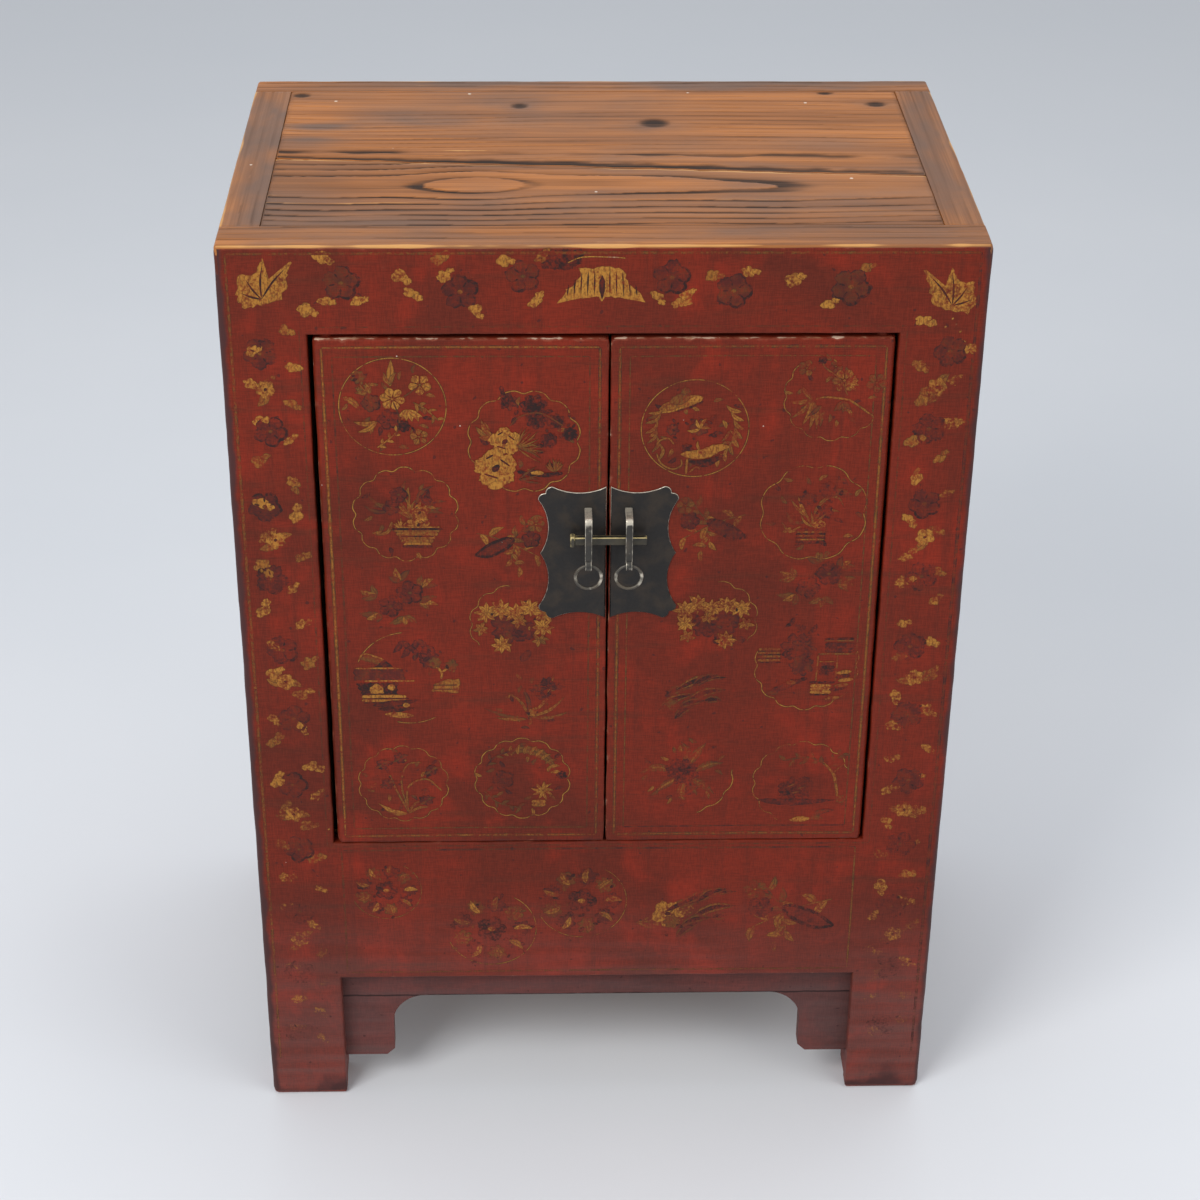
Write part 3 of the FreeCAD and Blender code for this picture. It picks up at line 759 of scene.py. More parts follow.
@dataclass(frozen=True)
class Iron:
    """Hand-worked iron, dark with old wax, bright where it is rubbed, and bright where a piece's values carry
    a painted highlight.
    """

    name: str
    dark: Colour = paint(44, 42, 41)
    brown: Colour = paint(58, 51, 45)
    bright: Colour = paint(196, 188, 172)
    polish: float = 0.0

    def material(self) -> Material:
        """The finish as a material."""
        material, tree, shader = new_material(self.name)
        place = tree.place()
        cloud = tree.noise(place, 60.0, 4.0, 0.4)
        fine = tree.noise(place, 420.0, 3.0)
        colour = tree.mix(tree.fit(cloud, 0.40, 0.68), self.dark, self.brown)
        ragged = tree.swing(tree.noise(place, 260.0, 3.0), 0.8)
        # The per-point value carries rubbed wear and painted highlights together.
        rub = tree.plus(tree.plus(tree.value("rub"), self.polish), ragged)
        bright = tree.fit(rub, 0.30, 0.85)
        colour = tree.mix(bright, colour, self.bright)
        metal = tree.fit(bright, 0.0, 1.0, 0.7, 0.5)
        rough = tree.minus(tree.fit(fine, 0.3, 0.7, 0.42, 0.58), tree.times(bright, 0.16))
        height = tree.blend(cloud, 0.7, fine, 0.3)
        tree.dress(shader, height, (0.45, 0.0004), Base_Color=colour, Metallic=metal, Roughness=rough)
        return material


@dataclass(frozen=True)
class CoatEdge:
    """A straight edge of a lacquer skin: where it lies, how it is rounded and worn, how far it turns back."""

    upright: bool
    place: float
    start: float
    end: float
    radius: float
    wrap: float
    pale: float
    dark: float = 0.0

    def distance(self, x: Array, z: Array) -> Array:
        """How far places of the skin lie from the edge, its ends included."""
        across, along = (x, z) if self.upright else (z, x)
        past = np.maximum(np.maximum(self.start - along, along - self.end), 0)
        return np.hypot(across - self.place, past)


@dataclass
class Coat:
    """Lacquer and its cloth ground as one skin over a front, with no joints.

    The skin is a grid over X and Z. Its depth at a distance d from an edge of radius r is
    r - sqrt(r * r - (r - d) * (r - d)), and along its outline it turns back over the arris.
    """

    name: str
    body: str
    front: float
    edges: list[CoatEdge]
    holes: list[Limits]
    corners: list[Pair]
    corner_round: float = 4.0
    spacing: float = 3.0
    seed: int = 3
    wave: float = 0.16
    wave_lengths: Pair = (70.0, 110.0)
    wall: float = 0.5
    pale_reach: float = 1.5
    dark_reach: float = 8.0
    wobble: float = 0.3
    wobble_reach: float = 6.0
    wobble_lengths: Pair = (26.0, 40.0)
    foot_stain: float = 0.0
    stain_reach: float = 32.0
    stain_length: float = 30.0
    hem_rows: int = 3
    hem_inset: float = 2.0
    hem_drift: float = 0.03
    hem_length: float = 12.0
    hem_pale_reach: float = 4.0
    hem_dark_reach: float = 9.0
    edge_steps: tuple[float, ...] = (0.0, 0.15, 0.5, 1.0, 1.8, 3.0, 5.0)

    def level(self, x: Array, z: Array) -> Array:
        """Y of the skin's face away from its edges, with the slow waves of the ground under it."""
        length, height = self.wave_lengths
        return self.front + self.wave * Drift(self.seed).at(x / length, z / height, 2)

    def grid_lines(self, upright: bool) -> Array:
        """Grid lines along X for the upright edges or along Z for the level ones, closer beside each edge."""
        places = sorted({edge.place for edge in self.edges if edge.upright == upright})
        lines, near = [], np.array(self.edge_steps)
        for low, high in zip(places[:-1], places[1:]):
            steps = max(2, math.ceil((high - low - 2 * near[-1]) / self.spacing))
            between = np.linspace(low + near[-1], high - near[-1], steps + 1)[1:-1]
            lines += [low + near, between, high - near[::-1]]
        return np.unique(np.round(np.concatenate(lines), 4))

    def covered(self, x: Array, z: Array) -> Array:
        """Where the skin lies: everywhere but in its holes."""
        inside = [(x > a) & (x < b) & (z > c) & (z < d) for a, b, c, d in self.holes]
        return ~np.any([np.zeros(x.shape, bool)] + inside, axis=0)

    def settled(self, x: Array, z: Array, nearest: Array) -> tuple[Array, Array]:
        """Places on the face with the outline's corners rounded and its edges a little wavy.

        Args:
            x, z: grid places.
            nearest: their distance from the nearest edge.
        Returns:
            The places, moved.
        """
        across, up = x.copy(), z.copy()
        centre = np.mean([edge.place for edge in self.edges if edge.upright])
        middle = np.mean([edge.place for edge in self.edges if not edge.upright])
        for corner_x, corner_z in self.corners:
            way_x, way_z = np.sign(centre - corner_x), np.sign(middle - corner_z)
            a = self.corner_round - way_x * (x - corner_x)
            b = self.corner_round - way_z * (z - corner_z)
            near = (a > 0) & (b > 0)
            shrink = np.where(near, np.maximum(a, b) / np.maximum(np.hypot(a, b), 1e-6), 1.0)
            across = np.where(near, across + way_x * a * (1 - shrink), across)
            up = np.where(near, up + way_z * b * (1 - shrink), up)
        fade = self.wobble * np.exp(-nearest / self.wobble_reach)
        noise = Drift(self.seed + 1)
        short, long = self.wobble_lengths
        return across + fade * noise.at(z / short, x / long), up + fade * noise.at(x / short, z / long + 50)

    def face(self, x: Array, z: Array, away: Array) -> Array:
        """The skin's face: its places and how far they are worn.

        Args:
            x, z: grid places.
            away: their distance from each edge.
        Returns:
            X, Y, Z, pale wear and dark wear of each place.
        """
        looks = np.array([(edge.radius, edge.pale, edge.dark) for edge in self.edges])
        radius, pale, dark = looks.T[..., None, None]
        depth = (radius - np.sqrt(np.maximum(radius**2 - np.maximum(radius - away, 0) ** 2, 0))).max(axis=0)
        across, up = self.settled(x, z, away.min(axis=0))
        chipped = (pale * np.exp(-away / self.pale_reach)).max(axis=0)
        rubbed = (dark * bell(away, self.dark_reach)).max(axis=0)
        stain = self.foot_stain * bell(z - z.min(), self.stain_reach)
        drift = Drift(self.seed + 4).at(x / self.stain_length, z / self.stain_length)
        rubbed = np.maximum(rubbed, stain * (0.95 + 0.5 * drift))
        columns = (across, self.level(x, z) + depth, up, chipped, rubbed)
        return np.stack([column.ravel() for column in columns], axis=1)

    def hem(self, x: Array, z: Array, away: Array, turns: Array, face: Array) -> Array:
        """The rows behind the skin's outline, where it turns back over the arrises and its wear fades.

        Args:
            x, z: grid places.
            away: their distance from each edge.
            turns: the numbers of the places on the outline.
            face: the skin's face.
        Returns:
            The same columns as the face, row by row.
        """
        wraps = np.array([edge.wrap for edge in self.edges])[away.argmin(axis=0)]
        drift = Drift(self.seed + 2).at(x / self.hem_length + 7, z / self.hem_length)
        wraps = (wraps * (1 + self.hem_drift * drift)).ravel()[turns]
        shares = np.linspace(0, 1, self.hem_rows + 1)[1:, None]
        depths = shares * np.maximum(wraps - self.hem_inset, 1)
        rows = np.repeat(face[None, turns], self.hem_rows, axis=0)
        rows[..., 1] += depths
        rows[..., 3] *= np.exp(-depths / self.hem_pale_reach)
        rows[..., 4] *= np.exp(-depths / self.hem_dark_reach)
        return rows.reshape(-1, face.shape[1])

    def surface(self) -> Surface:
        """The skin: its face, and the strips along its outline that turn back over the arrises."""
        lines_x, lines_z = self.grid_lines(True), self.grid_lines(False)
        x, z = np.meshgrid(lines_x, lines_z, indexing="ij")
        away = np.stack([edge.distance(x, z) for edge in self.edges])
        middle_x = (lines_x[:-1] + lines_x[1:]) / 2
        middle_z = (lines_z[:-1] + lines_z[1:]) / 2
        cover = np.pad(self.covered(*np.meshgrid(middle_x, middle_z, indexing="ij")), 1)
        index = np.arange(x.size).reshape(x.shape)
        rim = self.rim(cover, index)
        turns = np.unique(rim)
        ring = np.searchsorted(turns, rim)
        rows = [rim] + [x.size + row * len(turns) + ring for row in range(self.hem_rows)]
        strips = [
            np.stack([front[:, 0], front[:, 1], behind[:, 1], behind[:, 0]], axis=1)
            for front, behind in zip(rows[:-1], rows[1:])
        ]
        front_quads = cells(index)[cover[1:-1, 1:-1]]
        used, quads = np.unique(np.concatenate([front_quads] + strips), return_inverse=True)
        face = self.face(x, z, away)
        sheet = np.concatenate([face, self.hem(x, z, away, turns, face)])[used]
        return Surface(sheet[:, :3], quads.reshape(-1, 4), {"pale": sheet[:, 3], "dark": sheet[:, 4]})

    def rim(self, cover: Array, index: Array) -> Array:
        """Outline edges of the covered cells, as pairs of grid points, with the skin on their right hand.

        Args:
            cover: which cells are covered, with a margin of one empty cell.
            index: the number of each grid point.
        Returns:
            Pairs of point numbers.
        """
        left, right = cover[:-1, 1:-1], cover[1:, 1:-1]
        below, above = cover[1:-1, :-1], cover[1:-1, 1:]
        upright = np.stack([index[:, :-1], index[:, 1:]], axis=-1)
        level = np.stack([index[:-1], index[1:]], axis=-1)
        return np.concatenate(
            [
                upright[right & ~left],
                upright[left & ~right][:, ::-1],
                level[below & ~above],
                level[above & ~below][:, ::-1],
            ]
        )


@dataclass
class FrameCoat:
    """The lacquer skin over the posts, the frieze, the lower board and the front of the top."""

    proud: float = 0.6
    top_gap: float = 2.4
    foot_gap: float = 2.5
    outer_round: float = 5.6
    arris_round: float = 2.0
    arris_wrap: float = 16.0
    side_wrap: float = 38.5
    foot_stain: float = 0.62

    def coat(self) -> Coat:
        """The skin's outline, measured from the frame."""
        low, high = span("top_rail_front", "post_front_left", "post_front_right")
        outer = high[0] + self.proud
        inner = span("post_front_right")[0][0] - self.proud
        board_low, board_high = span("lower_board")
        base, sill = board_low[2] - self.proud, board_high[2] + self.proud
        head = span("frieze_rail")[0][2] - self.proud
        top, foot = high[2] - self.top_gap, self.foot_gap
        soft = {"radius": self.arris_round, "wrap": self.arris_wrap}
        edges = [
            CoatEdge(True, -outer, foot, top, self.outer_round, self.side_wrap, pale=0.25, dark=0.9),
            CoatEdge(True, outer, foot, top, self.outer_round, self.side_wrap, pale=0.25, dark=0.7),
            CoatEdge(False, top, -outer, outer, radius=1.0, wrap=4.0, pale=0.35, dark=0.35),
            *(CoatEdge(True, x, sill, head, pale=0.30, dark=0.30, **soft) for x in (-inner, inner)),
            *(CoatEdge(False, z, -inner, inner, pale=0.30, dark=0.30, **soft) for z in (sill, head)),
            CoatEdge(False, base, -inner, inner, pale=0.62, dark=0.2, **soft),
            CoatEdge(True, -inner, foot, base, pale=0.35, dark=0.3, **soft),
            CoatEdge(True, inner, foot, base, pale=0.42, dark=0.3, **soft),
            CoatEdge(False, foot, -outer, -inner, pale=0.8, dark=0.65, **soft),
            CoatEdge(False, foot, inner, outer, pale=0.7, dark=0.65, **soft),
        ]
        holes = [(-inner, inner, sill, head), (-inner, inner, foot - 1, base)]
        corners = [(-outer, top), (outer, top), (-outer, foot), (outer, foot)]
        front = low[1] - self.proud
        return Coat("frame_lacquer", "carcass", front, edges, holes, corners, foot_stain=self.foot_stain)


@dataclass
class DoorCoat:
    """The lacquer skin over one door's frame and panel."""

    side: str
    proud: float = 0.6
    hinge_round: float = 5.6
    arris_round: float = 2.0
    arris_wrap: float = 14.0

    def coat(self) -> Coat:
        """The skin's outline, measured from the frame."""
        prefix = f"door_{self.side}"
        low, high = span(f"{prefix}_lock_stile", f"{prefix}_panel", f"{prefix}_upper_rail")
        hinge_low, hinge_high = span(f"{prefix}_hinge_stile")
        low_x = min(low[0], hinge_low[0]) - self.proud
        high_x = max(high[0], hinge_high[0]) + self.proud
        low_z, high_z = low[2] - self.proud, high[2] + self.proud
        look = {"radius": self.arris_round, "wrap": self.arris_wrap}
        left_radius, right_radius = self.hinge_round, self.arris_round
        if self.side == "right":
            left_radius, right_radius = right_radius, left_radius
        edges = [
            CoatEdge(True, low_x, low_z, high_z, left_radius, self.arris_wrap, pale=0.62),
            CoatEdge(True, high_x, low_z, high_z, right_radius, self.arris_wrap, pale=0.45),
            CoatEdge(False, low_z, low_x, high_x, pale=0.35, dark=0.4, **look),
            CoatEdge(False, high_z, low_x, high_x, pale=0.8, **look),
        ]
        corners = [(x, z) for x in (low_x, high_x) for z in (low_z, high_z)]
        front, seed = low[1] - self.proud, DOOR_SEEDS[self.side]
        return Coat(f"{prefix}_lacquer", prefix, front, edges, [], corners, seed=seed)


@dataclass
class PlankTop:
    """The framed top: two planks that meet at a slanting seam, long rails and end pieces, all worn."""

    radius: float = 1.2
    outer_radius: float = 2.4
    frame_unevenness: float = 0.25
    seam_gap: float = 1.2
    groove_depth: float = 0.8
    ring_pitch: float = 10.0
    eye: Pair = (-101.0, -53.0)
    crack_y: float = 19.2
    crack_slope: float = 0.0255
    crack_wander: float = 1.5
    board_gap: float = 0.3
    seam_ragged: float = 0.8
    front_band: float = 0.8
    back_pith: float = 330.0
    stain_lengths: Pair = (150.0, 45.0)
    joint_line: float = 1.1
    arris_reach: float = 2.4
    knot_spots: tuple[Limits, ...] = (
        (-258, 167, 8, 6), (-66, 139, 7, 7), (50, 95, 13, 11), (205, 172, 7, 4), (247, 143, 9, 7)
    )
    stain_spots: tuple[Limits, ...] = ((-137, 98, 60, 15), (-236, 86, 30, 9), (-244, 55, 26, 6))

    def rings(
        self, along: Array, across: Array, pith: float, dip: Array | float, seed: int
    ) -> tuple[Array, Array]:
        """Growth rings of a flat-sawn board.

        A ring is a circle round the pith, which lies dip below the face and wanders along the board, so its
        radius is hypot(across - pith, dip). Each pitch begins with a dark groove and ends with a worn ridge.

        Args:
            along, across: places on the face.
            pith: where the pith lies across the board.
            dip: its depth under the face.
            seed: for the wandering.
        Returns:
            The shares of groove and of ridge at each place.
        """
        noise = Drift(seed)
        centre = pith + 5 * noise.at(along / 190, 0.5, 2)
        phase = np.hypot(across - centre, dip + 1.5 * noise.at(along / 80, 9.5, 2)) / self.ring_pitch
        phase = phase + 0.2 * noise.at(along / 120, across / 45, 1)
        ring = np.floor(phase)
        late = phase - ring
        strength = np.random.default_rng(seed).uniform(0.4, 1.2, 512)[ring.astype(int) % 512]
        strength = strength * (0.9 + 0.7 * noise.at(along / 60, across / 20 + 40, 2))
        line = 0.75 * (1 - ease(late, 0.1, 0.24)) + 0.3 * (1 - ease(late, 0.1, 0.7))
        return strength * line, strength * ease(late, 0.66, 0.94)

    def finish_board(
        self, block: Surface, outward: Array, groove: Array, stain: Array, rub: Array, side: Array
    ) -> Surface:
        """Sinks the grooves into the upper face and keeps what the finish reads.

        Args:
            block: the rounded board.
            outward: its outward directions.
            groove, stain, rub, side: shares of groove, grey stain, rubbed arris and painted highlight, and
                lacquered side.
        Returns:
            The board's surface.
        """
        up = ease(outward[:, 2], 0.5, 0.95)
        groove = np.clip(groove, 0, 1)
        sunk = block.points - outward * (self.groove_depth * groove * up)[:, None]
        values = {"groove": groove * up, "stain": np.clip(stain, 0, 1), "rub": rub, "side": side}
        return Surface(sunk, block.quads, values)

    def seam(self, x: Array) -> Array:
        """Y of the seam between the planks: a straight line from the left end to the right one."""
        reach = span("top_plank_front")[1][0]
        left = span("top_plank_front")[1][1]
        right = span("top_plank_back")[0][1]
        return left + (right - left) * (x + reach) / (2 * reach)

    def plank(self, place: str) -> Surface:
        """One plank. The block's width is drawn from its rail to the seam, which runs aslant."""
        ends = span("top_end_right")[0][0] - self.board_gap
        body = span(f"top_plank_{place}")
        rail = span(f"top_rail_{place}")
        frame_y = rail[1][1] + self.board_gap if place == "front" else rail[0][1] - self.board_gap
        way = 1 if place == "front" else -1
        width = abs(self.seam(np.zeros(1))[0] - frame_y)
        low = np.array([-ends, 0.0, body[0][2]])
        high = np.array([ends, width, body[1][2]])
        block, outward = WornBlock(low, high, self.radius, (3.5, 1.25, 9.0), seed=31).surface()
        x, across = block.points[:, 0], block.points[:, 1]
        edge_y = self.seam(x) - way * self.seam_gap / 2
        edge_y = edge_y + self.seam_ragged * Drift(5).at(x / 14, 3.0) - way * 0.5
        y = frame_y + (edge_y - frame_y) * across / width
        block.points[:, 1] = y
        if way < 0:
            block.quads = block.quads[:, ::-1]
        from_seam = np.abs(edge_y - y)
        wear = self.front_wear if place == "front" else self.back_wear
        groove, stain, rub, band = wear(x, y, from_seam)
        band_end = (1.4 + 0.6 * np.clip(self.ragged(x, y), -1, 1)) * band
        worn_seam = 1 - ease(from_seam, 0.5 * band, band_end)
        joint = np.minimum(np.abs(y - frame_y), ends - np.abs(x))
        groove = np.max([groove, 1.1 * worn_seam, 0.75 * bell(joint, self.joint_line)], axis=0)
        turned_out = outward * np.array([1, way, 1])
        return self.finish_board(block, turned_out, groove, stain, rub, np.zeros(x.shape))

    def ragged(self, x: Array, y: Array) -> Array:
        """Noise that breaks up the wear of the planks."""
        return Drift(12).at(x / 22, y / 9)

    def front_wear(self, x: Array, y: Array, from_seam: Array) -> tuple[Array | float, ...]:
        """The front plank's wear: rings round an eye, and a pale line beside the seam, which is its rubbed
        edge with a painted highlight.

        Args:
            x, y: places on the face.
            from_seam: their distance from the seam.
        Returns:
            The shares of groove, grey stain, and rubbed wood with the painted highlight, and the width of the
            dark band at the seam.
        """
        groove, ridge = self.rings(x, y, pith=self.eye[1], dip=self.figure(x), seed=41)
        length, width = self.stain_lengths
        stain = 0.5 + 0.6 * Drift(14).at(x / length, y / width, 4)
        # Rubbed ridges, and a pale line beside the seam: its rubbed edge, with a painted highlight.
        rub = 0.32 * ridge + 0.6 * bell(from_seam - 2.5, 2.2)
        return groove, stain, rub, self.front_band

    def back_wear(self, x: Array, y: Array, from_seam: Array) -> tuple[Array | float, ...]:
        """The back plank's wear: faint rings, a long crack, knots, and a grey stretch beside the seam.

        Args:
            x, y, from_seam: as for the front plank.
        Returns:
            The same four as for the front plank.
        """
        groove, ridge = self.rings(x, y, pith=self.back_pith, dip=12.0, seed=57)
        crack = y - self.crack_y + self.crack_slope * x - self.crack_wander * Drift(8).at(x / 50, 2.0)
        split = ease(Drift(9).at(x / 110, 1.0), -0.9, -0.3) * bell(crack, 3.4 + 2.2 * self.ragged(x, y))
        knots, halo = self.knots(x, y)
        groove = np.max([0.3 * groove, split, knots], axis=0)
        length, width = self.stain_lengths
        stain = 0.18 + 0.5 * Drift(14).at(x / length, y / width, 4) + halo
        stain = stain + 0.7 * ease(x, 60, 160) * (1 - ease(from_seam, 10, 22))
        rub = 0.2 * ridge + 0.4 * bell(crack - 7, 3.0)
        band = 6.5 + 2.5 * np.cos(x / 90) + 0.008 * np.maximum(x, 0)
        return groove, stain, rub, band

    def figure(self, x: Array) -> Array:
        """Depth of the pith under the front plank, which rises at an eye and sinks to the right."""
        eye = 8.6 * bell(x - self.eye[0], 48)
        return 34.5 + 0.037 * np.maximum(x, 0) - eye

    def knots(self, x: Array, y: Array) -> tuple[Array, Array]:
        """Knots of the back plank, dark round cores each in a soft stain, and wider stains without a core.

        Args:
            x, y: places on the face.
        Returns:
            The shares of core and of stain at each place.
        """
        core, halo = np.zeros(x.shape), np.zeros(x.shape)
        for centre_x, centre_y, length, width in self.knot_spots:
            off, up = (x - centre_x) / length, (y - centre_y) / width
            core = np.maximum(core, np.exp(-((off**2 + up**2) ** 3)))
            halo = halo + 0.5 * bell(off, 2.4) * bell(up, 1.8)
        for centre_x, centre_y, length, width in self.stain_spots:
            halo = halo + 0.8 * bell(x - centre_x, length) * bell(y - centre_y, width)
        return core, halo

    def rail(self, place: str) -> Surface:
        """A long rail of the top's frame, with its outer arris worn round and pale."""
        low, high = span(f"top_rail_{place}")
        joint = "+y" if place == "front" else "-y"
        look = {"seed": 61, "unevenness": self.frame_unevenness, "joints": (joint,)}
        board = WornBlock(low, high, self.outer_radius, (3.5, 1.25, 4.0), **look)
        block, outward = board.surface()
        x, y, z = block.points.T
        outer = low[1] if place == "front" else high[1]
        groove, ridge = self.rings(x, y, pith=outer + 90, dip=25.0, seed=71)
        from_outer = np.hypot(y - outer, z - high[2])
        stain = 0.45 + 0.6 * Drift(15).at(x / 120, y / 25, 4) + (0.3 if place == "back" else 0.0)
        rub = 0.85 * bell(from_outer, self.arris_reach) + 0.3 * Drift(18).at(x / 40, 4.0) + 0.2 * ridge
        facing = -outward[:, 1] if place == "front" else outward[:, 1]
        side = ease(high[2] - z, 6.0, 9.0) * ease(facing, 0.5, 0.8)
        side = np.maximum(side, self.lacquered_end(block, outward))
        return self.finish_board(block, outward, 0.5 * groove, stain, np.clip(rub, 0, 1), side)

    def end(self, side_name: str) -> Surface:
        """An end piece of the top's frame, with its outer arris worn round."""
        low, high = span(f"top_end_{side_name}")
        low[1] = span("top_rail_front")[1][1] + self.board_gap / 2
        high[1] = span("top_rail_back")[0][1] - self.board_gap / 2
        joints = ("-y", "+y", "+x" if side_name == "left" else "-x")
        look = {"seed": 81, "unevenness": self.frame_unevenness, "joints": joints}
        board = WornBlock(low, high, self.outer_radius, (1.25, 3.5, 4.0), **look)
        block, outward = board.surface()
        x, y, z = block.points.T
        outer = low[0] if side_name == "left" else high[0]
        groove, _ = self.rings(y, x, pith=outer * 1.4, dip=30.0, seed=83)
        stain = 0.7 + 0.5 * Drift(16).at(y / 60, x / 30, 4)
        from_outer = np.hypot(x - outer, z - high[2])
        rub = 0.7 * bell(from_outer, self.arris_reach) + 0.25 * Drift(19).at(y / 40, 4.0)
        side = self.lacquered_end(block, outward)
        return self.finish_board(block, outward, 0.3 * groove, stain, np.clip(rub, 0, 1), side)

    def lacquered_end(self, block: Surface, outward: Array) -> Array:
        """How far the lacquer covers a frame piece's outer end, from just under its arris down."""
        top = span("top_rail_front")[1][2]
        return ease(top - block.points[:, 2], 3.0, 7.0) * ease(np.abs(outward[:, 0]), 0.5, 0.8)

    def build(self) -> None:
        """Makes the six boards and puts each in its node's place."""
        length = TopWood("top_wood_lengthwise", Grain.ALONG_X).material()
        crosswise = TopWood("top_wood_crosswise", Grain.ALONG_Y).material()
        for place in ("front", "back"):
            plank = self.plank(place).piece(f"worn_plank_{place}", "carcass", "worn_top_wood", length)
            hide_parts(f"top_plank_{place}")
            rail = self.rail(place).piece(f"worn_top_rail_{place}", "carcass", "worn_top_wood", length)
            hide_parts(f"top_rail_{place}")
        for side_name in ("left", "right"):
            name = f"worn_top_end_{side_name}"
            end = self.end(side_name).piece(name, "carcass", "worn_top_wood", crosswise)
            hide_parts(f"top_end_{side_name}")


def arc(start: Pair, through: Pair, end: Pair) -> Array:
    """Points along the circle through three points.

    Args:
        start, through, end: the three points, in order.
    Returns:
        Points from start to end.
    """
    a, b, c = (np.asarray(point, float) for point in (start, through, end))
    ab, ac = b - a, c - a
    offset = np.array([ac[1] * (ab @ ab) - ab[1] * (ac @ ac), ab[0] * (ac @ ac) - ac[0] * (ab @ ab)])
    centre = a + offset / (2 * (ab[0] * ac[1] - ab[1] * ac[0]))
    first, second, third = (math.atan2(*(point - centre)[::-1]) for point in (a, b, c))
    half, sweep = (second - first) % math.tau, (third - first) % math.tau
    angles = first + np.linspace(0, sweep if half < sweep else sweep - math.tau, 40)
    return centre + np.hypot(*(a - centre)) * np.stack([np.cos(angles), np.sin(angles)], axis=1)


def paced(curve: Array, shares: Array) -> Array:
    """Points at given shares of a curve's length.

    Args:
        curve: points along it.
        shares: from 0 to 1.
    Returns:
        The points.
    """
    steps = np.hypot(*np.diff(curve, axis=0).T)
    along = np.concatenate([[0], np.cumsum(steps)]) / steps.sum()
    return np.stack([np.interp(shares, along, curve[:, axis]) for axis in range(curve.shape[1])], axis=1)


def bent_bar(
    path: Array, width: float, thickness: float, middle: float, shine: Array | float, looped: bool = False
) -> Surface:
    """A flat bar bent along a path in the Y-Z plane, with softened corners.

    The section at each path point is a rounded rectangle, cos and sin to the power 0.4, across X and the
    path's own normal.

    Args:
        path: Y and Z along the bar.
        width, thickness: across X, and across the path.
        middle: X of its middle.
        shine: a painted highlight, as how bright each path point is made.
        looped: whether the path closes on itself.
    Returns:
        The bar, closed at both ends unless it is looped.
    """
    ahead = np.gradient(path, axis=0)
    if looped:
        ahead = np.roll(path, -1, axis=0) - np.roll(path, 1, axis=0)
    ahead = ahead / np.hypot(*ahead.T)[:, None]
    angle = np.linspace(0, math.tau, 28, endpoint=False)
    across = np.sign(np.cos(angle)) * np.abs(np.cos(angle)) ** 0.4
    out = np.sign(np.sin(angle)) * np.abs(np.sin(angle)) ** 0.4
    x = np.broadcast_to(middle + width / 2 * across, (len(path), len(angle)))
    y = path[:, :1] - ahead[:, 1:] * thickness / 2 * out
    z = path[:, 1:] + ahead[:, :1] * thickness / 2 * out
    corner = ease(np.minimum(np.abs(across), np.abs(out)), 0.72, 0.95)
    # Worn corners of the section, plus the painted highlight along the path.
    rub = 0.75 * corner + np.broadcast_to(shine, (len(path),))[:, None]
    points = np.stack([x, y, z], axis=-1)
    return Surface.grid(points, {"rub": rub}, loop_rows=looped, loop_columns=True, capped=not looped)


